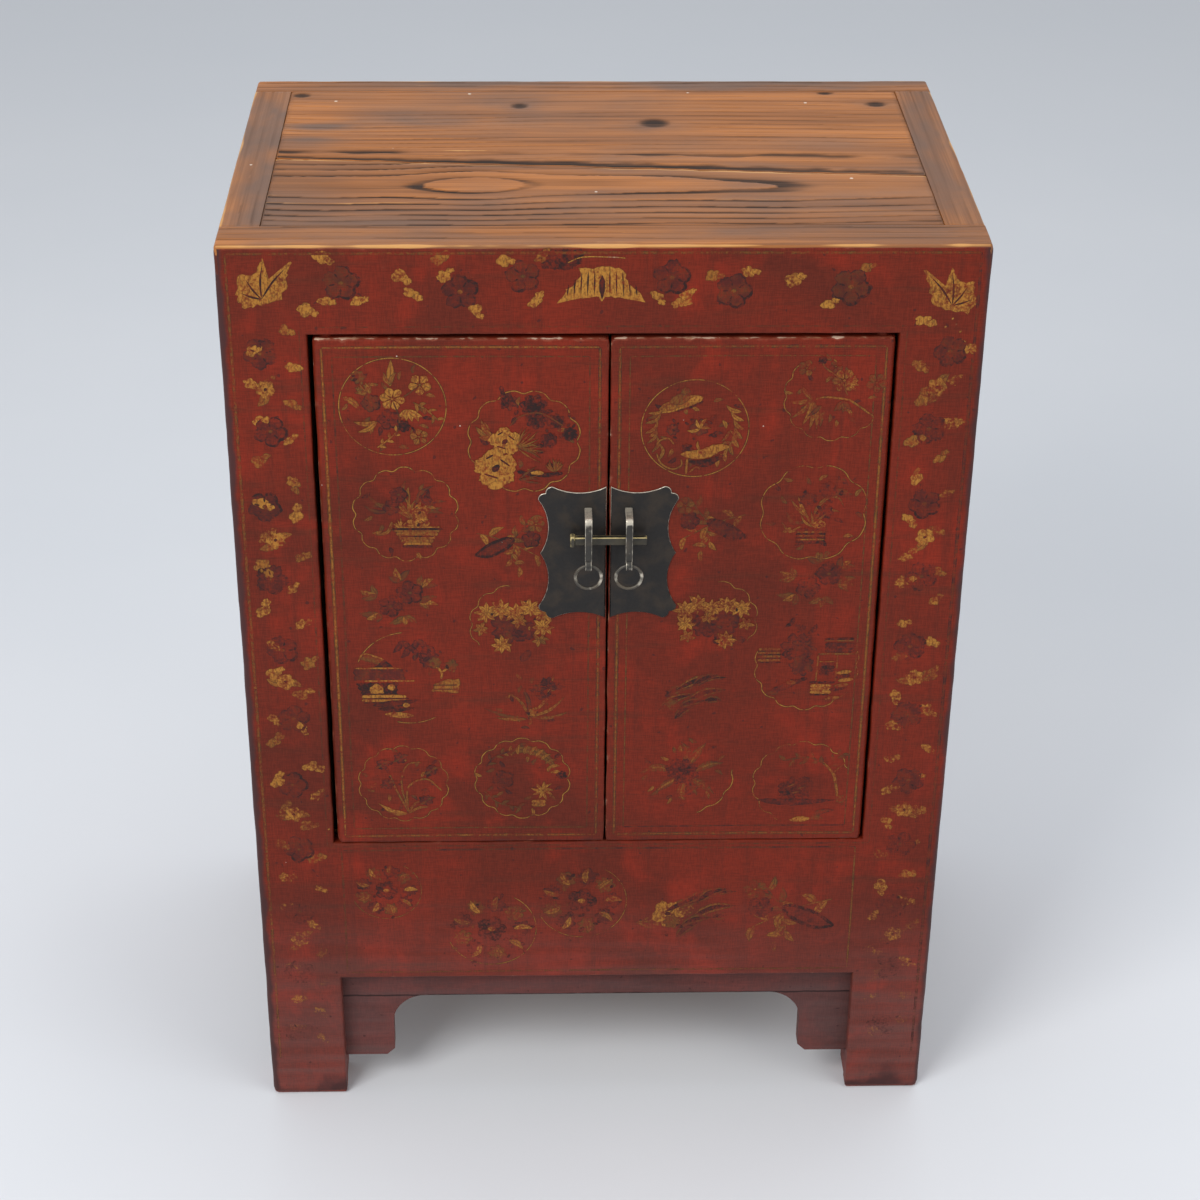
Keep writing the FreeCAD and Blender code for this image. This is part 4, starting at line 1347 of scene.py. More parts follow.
@dataclass
class Lock:
    """The lock: two shaped plates that meet between the doors, each with a staple and a ring, and a pin."""

    upper_leg: float = 41.0
    lower_leg: float = 12.0
    strap: float = 3.0
    bend: float = 4.0
    eye_radius: float = 4.5
    bore: float = 2.2
    plate_wall: float = 1.2
    plate_proud: float = 0.35
    plate_gap: float = 1.8
    rim_round: float = 0.85
    pin_head: float = 4.0
    pin_flare: float = 1.2
    side_dip: float = 8.0
    top_dip: float = 5.5
    lobe: float = 6.0
    lobe_inset: float = 1.5
    cusp: float = 1.35
    outline_points: int = 360
    rim_rows: tuple[float, ...] = (1.0, 0.6, 0.3, 0.12, 0.0)
    ring_points: tuple[int, int] = (72, 16)
    ring_unevenness: float = 0.07

    def outline(self, near: float, reach: float, rise: float) -> Array:
        """The outline of a plate, as distance from the meeting line and height, anticlockwise.

        The upper side is a hollow arc and a lobe, the outer side a lobe, two hollow arcs that meet in a
        cusp, and a lobe again. The lobes meet in a notch. The side along the meeting line is straight.

        Args:
            near, reach: the plate's nearest and farthest distance from the meeting line.
            rise: half its height.
        Returns:
            Points along the closed outline.
        """
        lobe, knob = self.lobe, 0.75 * self.lobe
        corner_u, corner_v = reach - 2 * lobe, rise - 2 * lobe
        notch = (corner_u + lobe, corner_v + lobe)
        upper = np.concatenate(
            [
                arc((reach - self.cusp, 0), (reach - self.side_dip, corner_v / 2), (reach, corner_v)),
                arc((reach, corner_v), (reach - self.lobe_inset, corner_v + knob), notch)[1:],
                arc(notch, (corner_u + knob, rise - self.lobe_inset), (corner_u, rise))[1:],
                arc((corner_u, rise), ((near + corner_u) / 2, rise - self.top_dip), (near, rise))[1:],
            ]
        )
        loop = np.concatenate([upper, (upper * np.array([1, -1]))[::-1]])
        return paced(loop, np.linspace(0, 1, self.outline_points + 1))[:-1]

    def plate(self, side: str) -> Surface:
        """One plate: a flat face, with rows that follow the outline down over the rounded rim, which carries
        a painted highlight.
        """
        low, high = span(f"lock_plate_{side}")
        meeting = (span("lock_plate_left")[1][0] + span("lock_plate_right")[0][0]) / 2
        reach = max(abs(low[0] - meeting), abs(high[0] - meeting))
        middle, rise = (low[2] + high[2]) / 2, (high[2] - low[2]) / 2
        outline = self.outline(self.plate_gap, reach, rise)
        ahead = np.roll(outline, -1, axis=0) - np.roll(outline, 1, axis=0)
        inward = np.stack([-ahead[:, 1], ahead[:, 0]], axis=1) / np.hypot(*ahead.T)[:, None]
        edge = self.rim_round * np.array(self.rim_rows)[:, None, None]
        flat = outline + edge * inward
        edge = np.broadcast_to(edge[..., 0], flat.shape[:2])
        drop = self.rim_round - np.sqrt(self.rim_round**2 - (self.rim_round - edge) ** 2)
        way = 1 if side == "right" else -1
        x, z = meeting + way * flat[..., 0], middle + flat[..., 1]
        # Painted highlight along the rim: brighter towards the top and, on the left plate, towards its left
        # end, and patchy near the bottom.
        lit = 0.5 + 0.5 * ease(flat[..., 1], -10, 55) + 0.2 * ease(meeting - x, 0, 50)
        lit = lit + 0.35 * ease(-flat[..., 1], 40, 55) * Drift(101).at(x / 9, z / 9)
        rub = lit * (1 - edge / self.rim_round)
        plate = Surface.grid(
            np.stack([x, low[1] - self.plate_proud + drop, z], axis=-1), {"rub": rub}, loop_columns=True
        )
        plate.caps = [np.arange(len(outline))]
        if way < 0:
            plate.quads, plate.caps = plate.quads[:, ::-1], [plate.caps[0][::-1]]
        return plate

    def staple(self, side: str) -> Surface:
        """One staple: a bar bent out of the plate and down to an eye, and a lower leg behind the pin, with
        painted highlights at the bend and where it leaves the plate.
        """
        low, high = span(f"staple_{side}")
        plate_low, plate_high = span(f"lock_plate_{side}")
        middle, width = (low[0] + high[0]) / 2, high[0] - low[0]
        centre = (plate_low[2] + plate_high[2]) / 2
        front, back = low[1] + self.eye_radius, plate_high[1]
        top = centre + self.upper_leg
        bend = self.bend - self.strap / 2
        angle = np.linspace(0, math.pi / 2, 9)
        leg = np.stack([np.linspace(back, front + bend, 9)[:-1], np.full(8, top)], axis=1)
        curve = np.stack([front + bend * (1 - np.sin(angle)), top - bend * (1 - np.cos(angle))], axis=1)
        fall_z = np.linspace(top - bend, centre + self.eye_radius - 1.5, 22)[1:]
        fall = np.stack([np.full(21, front), fall_z], axis=1)
        path = np.concatenate([leg, curve, fall])
        drop = top - path[:, 1]
        # Painted highlights: bright at the upper bend and where the leg leaves the plate.
        shine = 0.7 * bell(drop - 1.5, 2.5) + 0.2 * Drift(7).at(path[:, 1] / 6, middle)
        shine = shine + 0.7 * ease(path[:, 0], back - 9, back - 6)
        narrow = 0.5 * (self.eye_radius + self.bore)
        loop = np.linspace(0, math.tau, 28, endpoint=False)
        eye = np.stack([front + narrow * np.cos(loop), centre + narrow * np.sin(loop)], axis=1)
        lower = np.stack([np.linspace(back, front, 10), np.full(10, centre + self.lower_leg)], axis=1)
        return Surface.joined(
            [
                bent_bar(path, width, self.strap, middle, shine),
                bent_bar(lower, width, self.strap, middle, 0.1),
                bent_bar(eye, width - 0.8, self.eye_radius - self.bore, middle, 0.15, looped=True),
            ]
        )

    def ring(self, side: str) -> Surface:
        """One ring: a torus of forged wire, a little uneven."""
        low, high = span(f"ring_{side}")
        centre, wire = (low + high) / 2, (high[1] - low[1]) / 2
        radius = (high[0] - low[0]) / 2 - wire
        steps = (np.linspace(0, math.tau, count, endpoint=False) for count in self.ring_points)
        turn, tube = np.meshgrid(*steps, indexing="ij")
        uneven = Drift(55 if side == "left" else 56).at(np.cos(turn) * 3, np.sin(turn) * 3)
        thick = wire * (1 + self.ring_unevenness * uneven)
        out = radius + thick * np.cos(tube)
        x, z = centre[0] + out * np.cos(turn), centre[2] + out * np.sin(turn)
        y = centre[1] - thick * np.sin(tube)
        # Bright patches round the ring: worn metal together with painted highlights.
        rub = 0.26 + 0.34 * Drift(57).at(np.cos(turn) * 2 + 5, np.sin(turn) * 2, 2)
        return Surface.grid(np.stack([x, y, z], axis=-1), {"rub": rub}, loop_rows=True, loop_columns=True)

    def pin(self) -> Surface:
        """The pin: a square bar with worn arrises, brightest along the top as a painted highlight, and a
        flared head at its left end.
        """
        low, high = span("lock_pin")
        flare = np.array([0, self.pin_flare, self.pin_flare])
        bar, _ = WornBlock(low + flare, high - flare, 0.9, (3.0, 1.2, 1.2), seed=91).surface()
        head_high = np.array([low[0] + self.pin_head, high[1], high[2]])
        head, _ = WornBlock(low, head_high, 1.1, (0.8, 1.2, 1.2), seed=92).surface()
        pin = Surface.joined([bar, head])
        # Painted highlight: the arrises are made bright mostly along the top edges, with some wear all round.
        above = ease(pin.points[:, 2], high[2] - 3.5, high[2] - 1)
        worn = 0.9 * bell(pin.values["edge"], 0.9) * (0.15 + above)
        left = 0.3 * ease(low[0] + 10 - pin.points[:, 0], 0, 6)
        pin.values = {"rub": worn + left + 0.1 * above}
        return pin

    def build(self) -> None:
        """Makes the lock's seven pieces and puts each in its node's place."""
        dark = Iron("wrought_iron").material()
        rubbed = Iron("rubbed_iron", dark=paint(62, 60, 57), brown=paint(84, 77, 68), polish=0.2).material()
        forged = Iron("forged_iron", dark=paint(78, 75, 70), brown=paint(96, 88, 76)).material()
        # The pin's gold-toned bright colour is the colour of its painted top highlight.
        brassy = Iron(
            "worn_pin_metal", dark=paint(60, 58, 54), brown=paint(78, 73, 62), bright=paint(200, 182, 128)
        ).material()
        for side in ("left", "right"):
            body = f"door_{side}"
            plate = self.plate(side).piece(f"shaped_plate_{side}", body, "dark_iron", dark, self.plate_wall)
            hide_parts(f"lock_plate_{side}")
            staple = self.staple(side).piece(f"bent_staple_{side}", body, "dark_iron", rubbed)
            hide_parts(f"staple_{side}")
            ring = self.ring(side).piece(f"forged_ring_{side}", f"ring_{side}", "dark_iron", forged)
            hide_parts(f"ring_{side}")
        pin = self.pin().piece("forged_pin", "lock_pin", "dark_iron", brassy)
        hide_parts("lock_pin")


class Tone(Enum):
    """Pigments of the painting, as places on the finish's ramp of colours."""

    INK = 0.0
    PLUM = 0.2
    OLIVE = 0.4
    OCHRE = 0.6
    GOLD = 0.8
    CHALK = 1.0


class Shape(Enum):
    """Brush marks, as the two powers of their half width, which is sin(pi * t ** rise) ** fullness."""

    BLADE = (0.8, 0.9)
    PETAL = (1.5, 0.7)
    OVAL = (1.0, 0.5)
    LINE = (1.0, 0.1)


@dataclass(frozen=True)
class Pigment:
    """Gold and dark pigments brushed on lacquer: outlined, thin, and in places rubbed away to the red."""

    name: str
    ground: Lacquer
    ink: Colour = paint(36, 24, 23)
    plum: Colour = paint(58, 29, 27)
    olive: Colour = paint(98, 64, 28)
    ochre: Colour = paint(142, 92, 36)
    gold: Colour = paint(172, 120, 50)
    chalk: Colour = paint(206, 176, 150)

    def colour(self, tree: Tree, place: Socket, patches: Socket) -> Socket:
        """The pigment by its tone, with dark outlines, veins and hatching.

        Args:
            tree: the finish's tree.
            place: where it is seen.
            patches: noise that varies the tone.
        Returns:
            The colour.
        """
        drift = tree.swing(patches, 0.36)
        thin_edge = tree.fit(tree.value("rim"), 0.2, 1.6, 0.08, 0.0)
        tone = tree.minus(tree.plus(tree.value("tone"), drift), thin_edge)
        ramp = tree.add("ValToRGB", {0: tone})
        stops = ramp.node.color_ramp.elements
        inks = (self.plum, self.olive, self.ochre, self.gold, self.gold)
        for stop, colour in zip((0.2, 0.4, 0.6, 0.8, 0.94), inks):
            stops.new(stop).color = colour
        stops[0].color, stops[-1].color = self.ink, self.chalk
        outline = tree.fit(tree.value("rim"), 0.12, 0.4, 0.8, 0.0)
        vein = tree.fit(tree.value("vein"), 0.08, 0.24, 0.55, 0.0)
        strands = tree.noise(tree.stretch(place, (760, 760, 260)), 1.0, 2.0, 0.6)
        hatch = tree.fit(strands, 0.50, 0.62, 0.0, 0.5)
        dark = tree.most(tree.most(outline, vein), hatch)
        return tree.mix(tree.times(dark, tree.fit(tree.value("tone"), 0.3, 0.5)), ramp, self.ink)

    def material(self) -> Material:
        """The finish as a material."""
        material, tree, shader = new_material(self.name)
        place = tree.place()
        lacquer = self.ground.ground(tree, place)
        grains = tree.noise(place, 520.0, 3.0)
        patches = tree.noise(place, 110.0, 4.0, 0.3)
        pigment = self.colour(tree, place, patches)
        loss = tree.blend(grains, 0.55, patches, 0.45)
        loss = tree.plus(loss, tree.swing(tree.value("worn"), 0.5))
        inner = tree.fit(tree.value("rim"), 0.5, 3.0, 1.0, 0.7)
        thin = tree.most(inner, tree.fit(tree.value("tone"), 0.25, 0.4))
        thin = tree.most(thin, tree.fit(tree.value("tone"), 0.05, 0.12, 1.0, 0.0))
        cover = tree.times(tree.fit(loss, 0.34, 0.66, 0.97, 0.0), thin)
        colour = tree.mix(cover, lacquer["Colour"], pigment)
        gilt = tree.times(cover, tree.fit(tree.value("tone"), 0.5, 0.8, 0.0, 0.2))
        feeds = {"Base_Color": colour, "Metallic": gilt, "Roughness": lacquer["Roughness"]}
        weave = (0.5, self.ground.weave_depth)
        tree.dress(shader, lacquer["Height"], weave, Specular_IOR_Level=self.ground.gloss, **feeds)
        return material


def curve_through(points: list[Pair] | Array, count: int) -> Array:
    """A smooth curve through points: a cubic between each two, with the slope of their neighbours.

    Args:
        points: at least two points.
        count: how many points to give back.
    Returns:
        Points along the curve.
    """
    p = np.asarray(points, float)
    p = np.concatenate([2 * p[:1] - p[1:2], p, 2 * p[-1:] - p[-2:-1]])
    place = np.linspace(0, len(p) - 3 - 1e-9, count)
    i = place.astype(int)
    t = (place - i)[:, None]
    a, b, c, d = p[i], p[i + 1], p[i + 2], p[i + 3]
    return 0.5 * (2 * b + (c - a) * t + (2 * a - 5 * b + 4 * c - d) * t**2 + (3 * b - a - 3 * c + d) * t**3)


@dataclass
class Brush:
    """Brush strokes on one lacquer skin, gathered into one piece.

    A stroke is a centre line with a half width on each side, laid on the skin's own face.
    """

    coat: Coat
    seed: int
    lift: float = 0.05
    layer: float = 0.0025
    laid: float = 0.0
    loose: float = 0.16
    loose_length: float = 2.2
    least_width: float = 0.04
    vein_width: float = 1.4
    ragged: float = 0.1
    ragged_length: float = 1.5
    small_patch: float = 9.0
    wall: float = 0.04
    strokes: list[Surface] = field(default_factory=list)

    def __post_init__(self) -> None:
        """Starts the random numbers that loosen the strokes."""
        self.chance = np.random.default_rng(self.seed)

    def stroke(self, line: Array, width: float, tone: float, shape: Shape, worn: float) -> None:
        """Lays a stroke.

        Args:
            line: X and Z along its centre, in millimetres.
            width: its full width.
            tone: its pigment, as a place on the ramp.
            shape: how its width runs from start to end.
            worn: how far it is rubbed away.
        """
        ahead = np.gradient(line, axis=0)
        ahead = ahead / np.maximum(np.hypot(*ahead.T), 1e-9)[:, None]
        steps = np.hypot(*np.diff(line, axis=0).T)
        along = np.concatenate([[0], np.cumsum(steps)])
        rise, fullness = shape.value
        share = np.clip(along / along[-1], 0, 1)
        half = width / 2 * np.maximum(np.sin(np.pi * share**rise), 0) ** fullness
        drift = Drift(self.seed).at(along / self.loose_length, 3.7 * len(self.strokes), 2)
        half = np.maximum(half * (1 + self.loose * np.clip(drift, -1, 1)), self.least_width)[:, None]
        sides = np.array([-1, 0, 1])
        x = line[:, :1] - ahead[:, 1:] * half * sides
        z = line[:, 1:] + ahead[:, :1] * half * sides
        rim = half * (1 - np.abs(sides))
        veined = shape in (Shape.BLADE, Shape.PETAL) and width > self.vein_width
        vein = np.abs(sides) if veined else 1.0
        values = {
            "tone": np.full(x.shape, tone),
            "rim": rim,
            "worn": np.full(x.shape, worn),
            "vein": np.broadcast_to(vein, x.shape),
        }
        level = np.full(x.shape, self.next_level())
        self.strokes.append(Surface.grid(np.stack([x, level, z], axis=-1), values))

    def next_level(self) -> float:
        """The level of the next stroke, just over the one before it."""
        self.laid += 1
        return -self.lift - self.layer * self.laid

    def patch(self, outline: Array, tone: float, worn: float) -> None:
        """Lays a filled patch: rings from its middle to its outline, which is left ragged.

        Args:
            outline: X and Z round its edge, in millimetres.
            tone: its pigment, as a place on the ramp.
            worn: how far it is rubbed away.
        """
        middle = outline.mean(axis=0)
        drift = Drift(self.seed).at(*(outline / self.ragged_length).T)
        spokes = (outline - middle) * (1 + self.ragged * np.clip(drift, -1, 1))[:, None]
        ahead = np.roll(spokes, -1, axis=0)
        if np.sum(spokes[:, 0] * ahead[:, 1] - spokes[:, 1] * ahead[:, 0]) < 0:
            spokes = spokes[::-1]
        small = np.hypot(*spokes.T).max() < self.small_patch
        shares = np.array([0.12, 1.0] if small else [0.12, 0.55, 1.0])[:, None]
        x, z = (middle[axis] + shares * spokes[:, axis] for axis in (0, 1))
        values = {
            "tone": np.full(x.shape, tone),
            "rim": (1 - shares) * np.hypot(*spokes.T),
            "worn": np.full(x.shape, worn),
            "vein": np.ones(x.shape),
        }
        level = np.full(x.shape, self.next_level())
        sheet = Surface.grid(np.stack([x, level, z], axis=-1), values, loop_columns=True)
        sheet.caps = [np.arange(len(spokes))]
        self.strokes.append(sheet)

    def piece(self, name: str, finish: Material) -> None:
        """Sets the strokes on the skin and puts them into the scene as one piece."""
        painting = Surface.joined(self.strokes)
        painting.points[:, 1] += self.coat.level(painting.points[:, 0], painting.points[:, 2])
        painting.piece(name, self.coat.body, "red_lacquer", finish, self.wall, smooth=False)


UNITS = 100.0
INK, PLUM, OLIVE, OCHRE, GOLD, CHALK = Tone
BLADE, PETAL, OVAL, LINE = Shape


def lobed(lobes: int, notch: float, turn: float = 0.0, count: int = 48) -> Array:
    """A closed outline of radius 1 - notch * (1 - abs(cos(lobes * (a - turn) / 2)) ** 0.6) at an angle a."""
    angle = np.linspace(0, math.tau, count, endpoint=False)
    radius = 1 - notch * (1 - np.abs(np.cos(lobes * (angle - turn) / 2)) ** 0.6)
    return np.stack([radius * np.cos(angle), radius * np.sin(angle)], axis=1)


def toward(spot: Pair | Array, reach: float, angle: float) -> Array:
    """The spot at some reach from another, along an angle in radians."""
    return np.array(spot) + reach * np.array([math.cos(angle), math.sin(angle)])


def polar(reach: float, degrees: float, aside: float = 0.0) -> Pair:
    """The spot at some reach along a direction, and some way aside to the right of it."""
    cos, sin = math.cos(math.radians(degrees)), math.sin(math.radians(degrees))
    return reach * cos + aside * sin, reach * sin - aside * cos


# How far the leaves on each side of the scroll picture lean, and outlines that are long or used twice.
RIGHT_LEAN, LEFT_LEAN = math.degrees(0.34), math.degrees(0.4)
LONG_LEAF = [(-95, -35), (-55, -38), (-10, -12), (5, 10), (-15, 15), (-60, -5)]
GRAZER = [
    (-44, -12), (-42, -34), (-30, -30), (-20, -44), (-8, -30), (4, -44),
    (10, -28), (20, -40), (22, 0), (12, 17), (-14, 18), (-30, 6),
]
WING = [(8, -20), (53, -25), (99, -35), (80, -8), (53, 15), (48, 46)]
RAISED_WINGS = [
    (-69, -93), (69, -60), (88, 0), (112, 100), (62, 53), (31, 13),
    (6, 113), (-19, 53), (-50, 40), (-81, 47), (-88, 7), (-100, -47),
]


class Picture(Enum):
    """The painting's pictures as marks in order: a move of a motif, then what it is given.

    Places, lengths and widths are hundredths of the picture's size, u to the right and v up from its middle.
    """

    # A round picture of garden plants.
    PLANT_CIRCLE = (
        ("ring",), ("sprinkle", 18), ("leaf", (-3, 42), (0, 98), 14, GOLD, 0),
        ("leaves", (-3, 45), [(-14, 72), (10, 72)], 8, OCHRE),
        ("fan", (-42, 25), (95, 170), 8, 30, 7, OCHRE), ("clump", (-62, 62), 16, OLIVE, 4),
        ("plum_flower", (-40, 9), 20), ("plum_flower", (-8, -26), 22), ("blossom", (52, 46), 20, GOLD),
        ("blossom", (0, 17), 22, GOLD, 6), ("fan", (29, -5), (215, 330), 6, 30, 11, GOLD),
        ("twig", [(38, 10), (62, -5), (87, -30)], 18, 6, OCHRE), ("leaf", (-92, 21), (-60, -8), 13, OCHRE),
        ("leaves", (-30, -30), [(-75, -30), (-68, -52)], 10, OCHRE),
        ("twig", [(-32, -85), (-10, -68), (10, -48)], 16, 6, GOLD), ("blossom", (48, -62), 16, OCHRE),
        ("line", [(2, 10), (12, -25), (5, -60)], 3, OLIVE),
        ("line", [(20, 20), (36, 32), (48, 42)], 3, OLIVE), ("clump", (20, -40), 14, INK, 4),
    )
    # A lobed picture of a pierced rock, plum trees and grass.
    ROCK_ROUNDEL = (
        ("sprinkle", 14, 20, 75), ("ring", 12, 7),
        *(
            mark
            for spot, radius in (
                ((-28, 78), 18), ((17, 69), 26), ((22, 42), 20), ((56, 39), 17), ((80, 15), 15), ((43, 2), 17)
            )
            for mark in (("clump", spot, radius), ("clump", spot, 0.8 * radius, INK, 2))
        ),
        ("line", [(-26, 30), (-5, 50), (30, 55), (70, 30)], 3, OLIVE),
        ("fan", (-13, -12), (-35, 75), 14, 50, 3.5, OCHRE),
        ("leaves", (-55, 10), [(-85, 30), (-80, 10), (-75, 45)], 10, OCHRE), ("rock", (-34, 0), 26),
        ("rock", (-50, -52), 36), ("blot", (-50, -86), 30, 16, GOLD, 10),
        ("line", [(-13, -58), (25, -66), (68, -62)], 7, INK), ("line", [(10, -60), (35, -62)], 8, GOLD),
        ("fan", (53, -60), (45, 135), 8, 28, 4, OCHRE), ("fan", (-10, -75), (-10, 40), 5, 40, 4, OLIVE),
    )
    # A scalloped picture of a bowl with rocks, flowers and slender leaves.
    PLANTER = (
        ("ring", 14, 7), ("sprinkle", 18),
        *(
            ("leaf", (0.35 * u, 0.35 * v), (u, v), 9, OLIVE, 0.14)
            for u, v in ((-78, 20), (-70, 42), (78, 28), (2, 72), (55, 62), (72, 2))
        ),
        ("leaf", (-25, -13), (-60, -44), 8, OCHRE, 0.25), ("fan", (10, -10), (35, 145), 9, 55, 6, OCHRE),
        ("plum_flower", (-12, 42), 18), ("plum_flower", (-26, 15), 17), ("clump", (40, 30), 12, PLUM, 4),
        ("rock", (26, 4), 17), ("rock", (24, -22), 20), ("fan", (-10, -36), (60, 130), 6, 28, 5, GOLD),
        ("bowl", -24, 65, -34, -64),
    )
    # A scalloped picture of a footed basket with arching leaves.
    BASKET = (
        ("ring", 8, 8), ("sprinkle", 18), ("leaf", (-19, -26), (-58, -18), 7, OCHRE, 0.42),
        ("leaf", (-15, -20), (-50, 2), 9, OLIVE, 0.25),
        ("leaves", (-10, -10), [(-44, 30), (-30, 36)], 7, OCHRE, 0.05),
        ("line", [(0, -15), (6, 10), (26, 32), (45, 30), (56, 10)], 7, OCHRE, BLADE),
        ("leaf", (20, 30), (71, 37), 13, OLIVE, 0.2), ("leaf", (5, -10), (50, 2), 8, OCHRE, 0.2),
        ("clump", (-13, 28), 17), ("clump", (24, 48), 18), ("clump", (22, 2), 16),
        ("fan", (0, -30), (50, 130), 6, 40, 5, OCHRE), ("rock", (12, -27), 13),
        ("bars", -31, 25, [-36, -44, -52, -60], 7.5, INK),
        ("bars", -30, 24, [-39.5, -47.5, -55.5], 4, OCHRE), ("leaves", (-20, -62), [(-34, -70)], 8, INK),
        ("leaves", (15, -62), [(28, -70)], 8, INK),
    )
    # A round picture of a leaf boat among scrolls, over a gold bank.
    SCROLL_CIRCLE = (
        ("ring",), ("sprinkle", 18), ("blot", (-27, 52), 85, 24, OCHRE, 17),
        ("blot", (-30, 60), 40, 20, OLIVE, 17), ("blot", (0, 60), 25, 14, GOLD, 10),
        ("line", [(-35, 36), (-10, 44), (14, 56)], 4, INK),
        ("line", [(-70, 33), (-45, 36), (-20, 46)], 4, GOLD), ("clump", (-20, 76), 10, OLIVE, 4),
        *(("leaf", polar(92, a), polar(74, a + RIGHT_LEAN), 9, OCHRE, 0.15) for a in range(-62, 34, 12)),
        *(("leaf", polar(94, a), polar(72, a - LEFT_LEAN), 7, OCHRE, -0.2) for a in range(160, 236, 13)),
        ("line", [(-71, -42), (-67, -26), (-49, -20), (-38, -33)], 4, OCHRE),
        ("line", [(-71, -50), (-62, -72), (-40, -84), (-24, -76), (-25, -62)], 4, OCHRE),
        ("clump", (-42, -2), 14), ("clump", (7, 2), 20), ("clump", (-15, -42), 13, INK, 4),
        ("leaves", (10, 0), [(30, 0), (22, 22), (2, 20), (-16, -4)], 7, GOLD),
        ("leaves", (64, -3), [(48, -28), (78, -26)], 6, OCHRE), ("leaf", (10, -46), (6, -24), 6, GOLD),
        ("line", [(-26, -53), (14, -53), (45, -40), (66, -38)], 20, GOLD, OVAL),
        ("line", [(-11, -68), (21, -72), (55, -55)], 13, INK, OVAL),
        ("line", [(-15, -96), (-13, -60)], 5, OCHRE), ("line", [(-10, -92), (4, -80), (12, -86)], 4, OCHRE),
    )
    # A part-scalloped picture of a bamboo stem with leaves and blossoms.
    BAMBOO = (
        ("ring", 14, 6, (125, 335)), ("sprinkle", 18),
        ("line", [(-36, -7), (-15, -2), (27, -7), (42, -14), (85, -46)], 5, OCHRE),
        ("leaves", (-40, -8), [(-64, 23), (-92, -12), (-83, -49)], 10, OCHRE, 0.06),
        ("leaves", (-40, -8), [(-60, -66), (-45, -76), (-30, -76)], 10, OCHRE, 0.06),
        ("leaves", (-25, -20), [(-23, -70), (-16, -50), (-50, -45)], 9, OLIVE, 0.06),
        ("line", [(-27, 91), (-20, 65), (10, 40), (30, 0)], 4, OLIVE), ("blossom", (21, 35), 24, OCHRE, 6),
        ("fan", (25, 30), (-40, 40), 4, 28, 9, GOLD), ("blossom", (-56, 63), 17, OLIVE),
        ("blossom", (86, 30), 20, OLIVE), ("blossom", (2, 66), 13, OLIVE),
        ("fan", (20, -10), (235, 310), 5, 30, 10, OLIVE), ("clump", (-25, 80), 10, INK, 3),
    )
    # A round picture of a house on a terrace, with a tree on a bank and hills behind.
    PAVILION = (
        ("ring", 0, 6, (95, 160)), ("ring", 0, 6, (255, 300)),
        *(
            ("leaves", (u, v + 10), [(u - 16, v - 16), (u + 16, v - 16)], 12, PLUM)
            for u, v in ((-12, 72), (18, 75), (2, 60), (34, 62))
        ),
        ("clump", (40, 40), 22, PLUM), ("patch", [(-92, 42), (-50, 28), (-44, 40), (-80, 54)], OLIVE),
        ("line", [(-92, 42), (-80, 54), (-44, 41)], 4, GOLD),
        ("patch", [(-62, 25), (-28, 25), (-45, 42)], INK), ("bars", -100, -12, [22], 4, GOLD),
        ("patch", [(-100, -4), (-10, -4), (-8, 20), (-100, 20)], PLUM), ("bars", -85, 12, [-6], 4, GOLD),
        ("patch", [(-98, -10), (-20, -10), (-24, -36), (-90, -36)], INK),
        ("patch", [(-74, -34), (-48, -34), (-48, -20), (-61, -10), (-74, -20)], GOLD),
        ("patch", lobed(1, 0.0), GOLD, (-33, -20), 7.5), ("bars", -90, -5, [-41, -49], 8.5, GOLD),
        ("bars", -88, 0, [-45, -54], 3, INK), ("line", [(-70, -60), (-20, -56), (20, -48)], 14, INK, BLADE),
        ("blot", (-6, -60), 14, 10, GOLD), ("line", [(-60, -68), (-20, -70), (10, -66)], 10, INK, BLADE),
        ("blot", (-20, -82), 55, 12, GOLD, -4), ("line", [(60, -4), (62, 12), (48, 30)], 5, GOLD),
        ("line", [(62, 12), (78, 26)], 5, GOLD), ("clump", (50, 34), 14, OLIVE, 3),
        ("clump", (80, 28), 14, OLIVE, 3),
        ("patch", [(42, -30), (94, -34), (97, -2), (70, -4), (50, -12)], OCHRE),
        ("bars", 45, 92, [-16, -25], 3, OLIVE),
    )
    # A part-scalloped picture of an open pavilion by a striped rock, with dark hills.
    TERRACE = (
        ("ring", 14, 6, (160, 380)), ("clump", (-20, 40), 34, PLUM, 9), ("clump", (-10, 0), 26, PLUM, 6),
        *(("leaf", (u + 10, v + 6), (u - 8, v - 16), 9, INK) for u, v in ((-38, 100), (-16, 88), (5, 85))),
        ("bars", -95, -50, [36, 28, 20, 12], 7, OCHRE), ("bars", -95, -48, [32, 24, 16, 7], 2.5, INK),
        ("bars", 32, 88, [58], 5, INK), ("bars", 30, 88, [54], 3.5, OCHRE),
        ("bars", 32, 90, [46, 39, 32], 7.5, PLUM), ("bars", 20, 98, [25], 4.5, OCHRE),
        ("bars", 24, 54, [2, -5, -12, -19], 8, INK), ("bars", 22, 56, [8], 3.5, OCHRE),
        *(("line", [(u, 24), (u - 2, -36)], 4, OCHRE) for u in (21, 58)), ("bars", 6, 56, [-38], 5, INK),
        ("bars", 8, 50, [-46, -53, -60], 8, GOLD), ("bars", 8, 46, [-66], 3, INK),
        ("blot", (72, -16), 30, 9, OCHRE, 8), ("blot", (70, -25), 30, 9, INK, 8),
        ("blot", (76, -33), 30, 9, OCHRE, 8), ("blot", (60, -53), 30, 9, INK, 8),
        ("blot", (68, -45), 30, 9, OCHRE, 8), ("blot", (52, -74), 30, 9, OCHRE, 8),
        ("line", [(-75, -64), (-30, -42), (2, -28)], 14, PLUM, BLADE), ("blot", (-28, -38), 20, 11, OCHRE),
        ("blot", (-62, -62), 24, 8, OLIVE),
    )
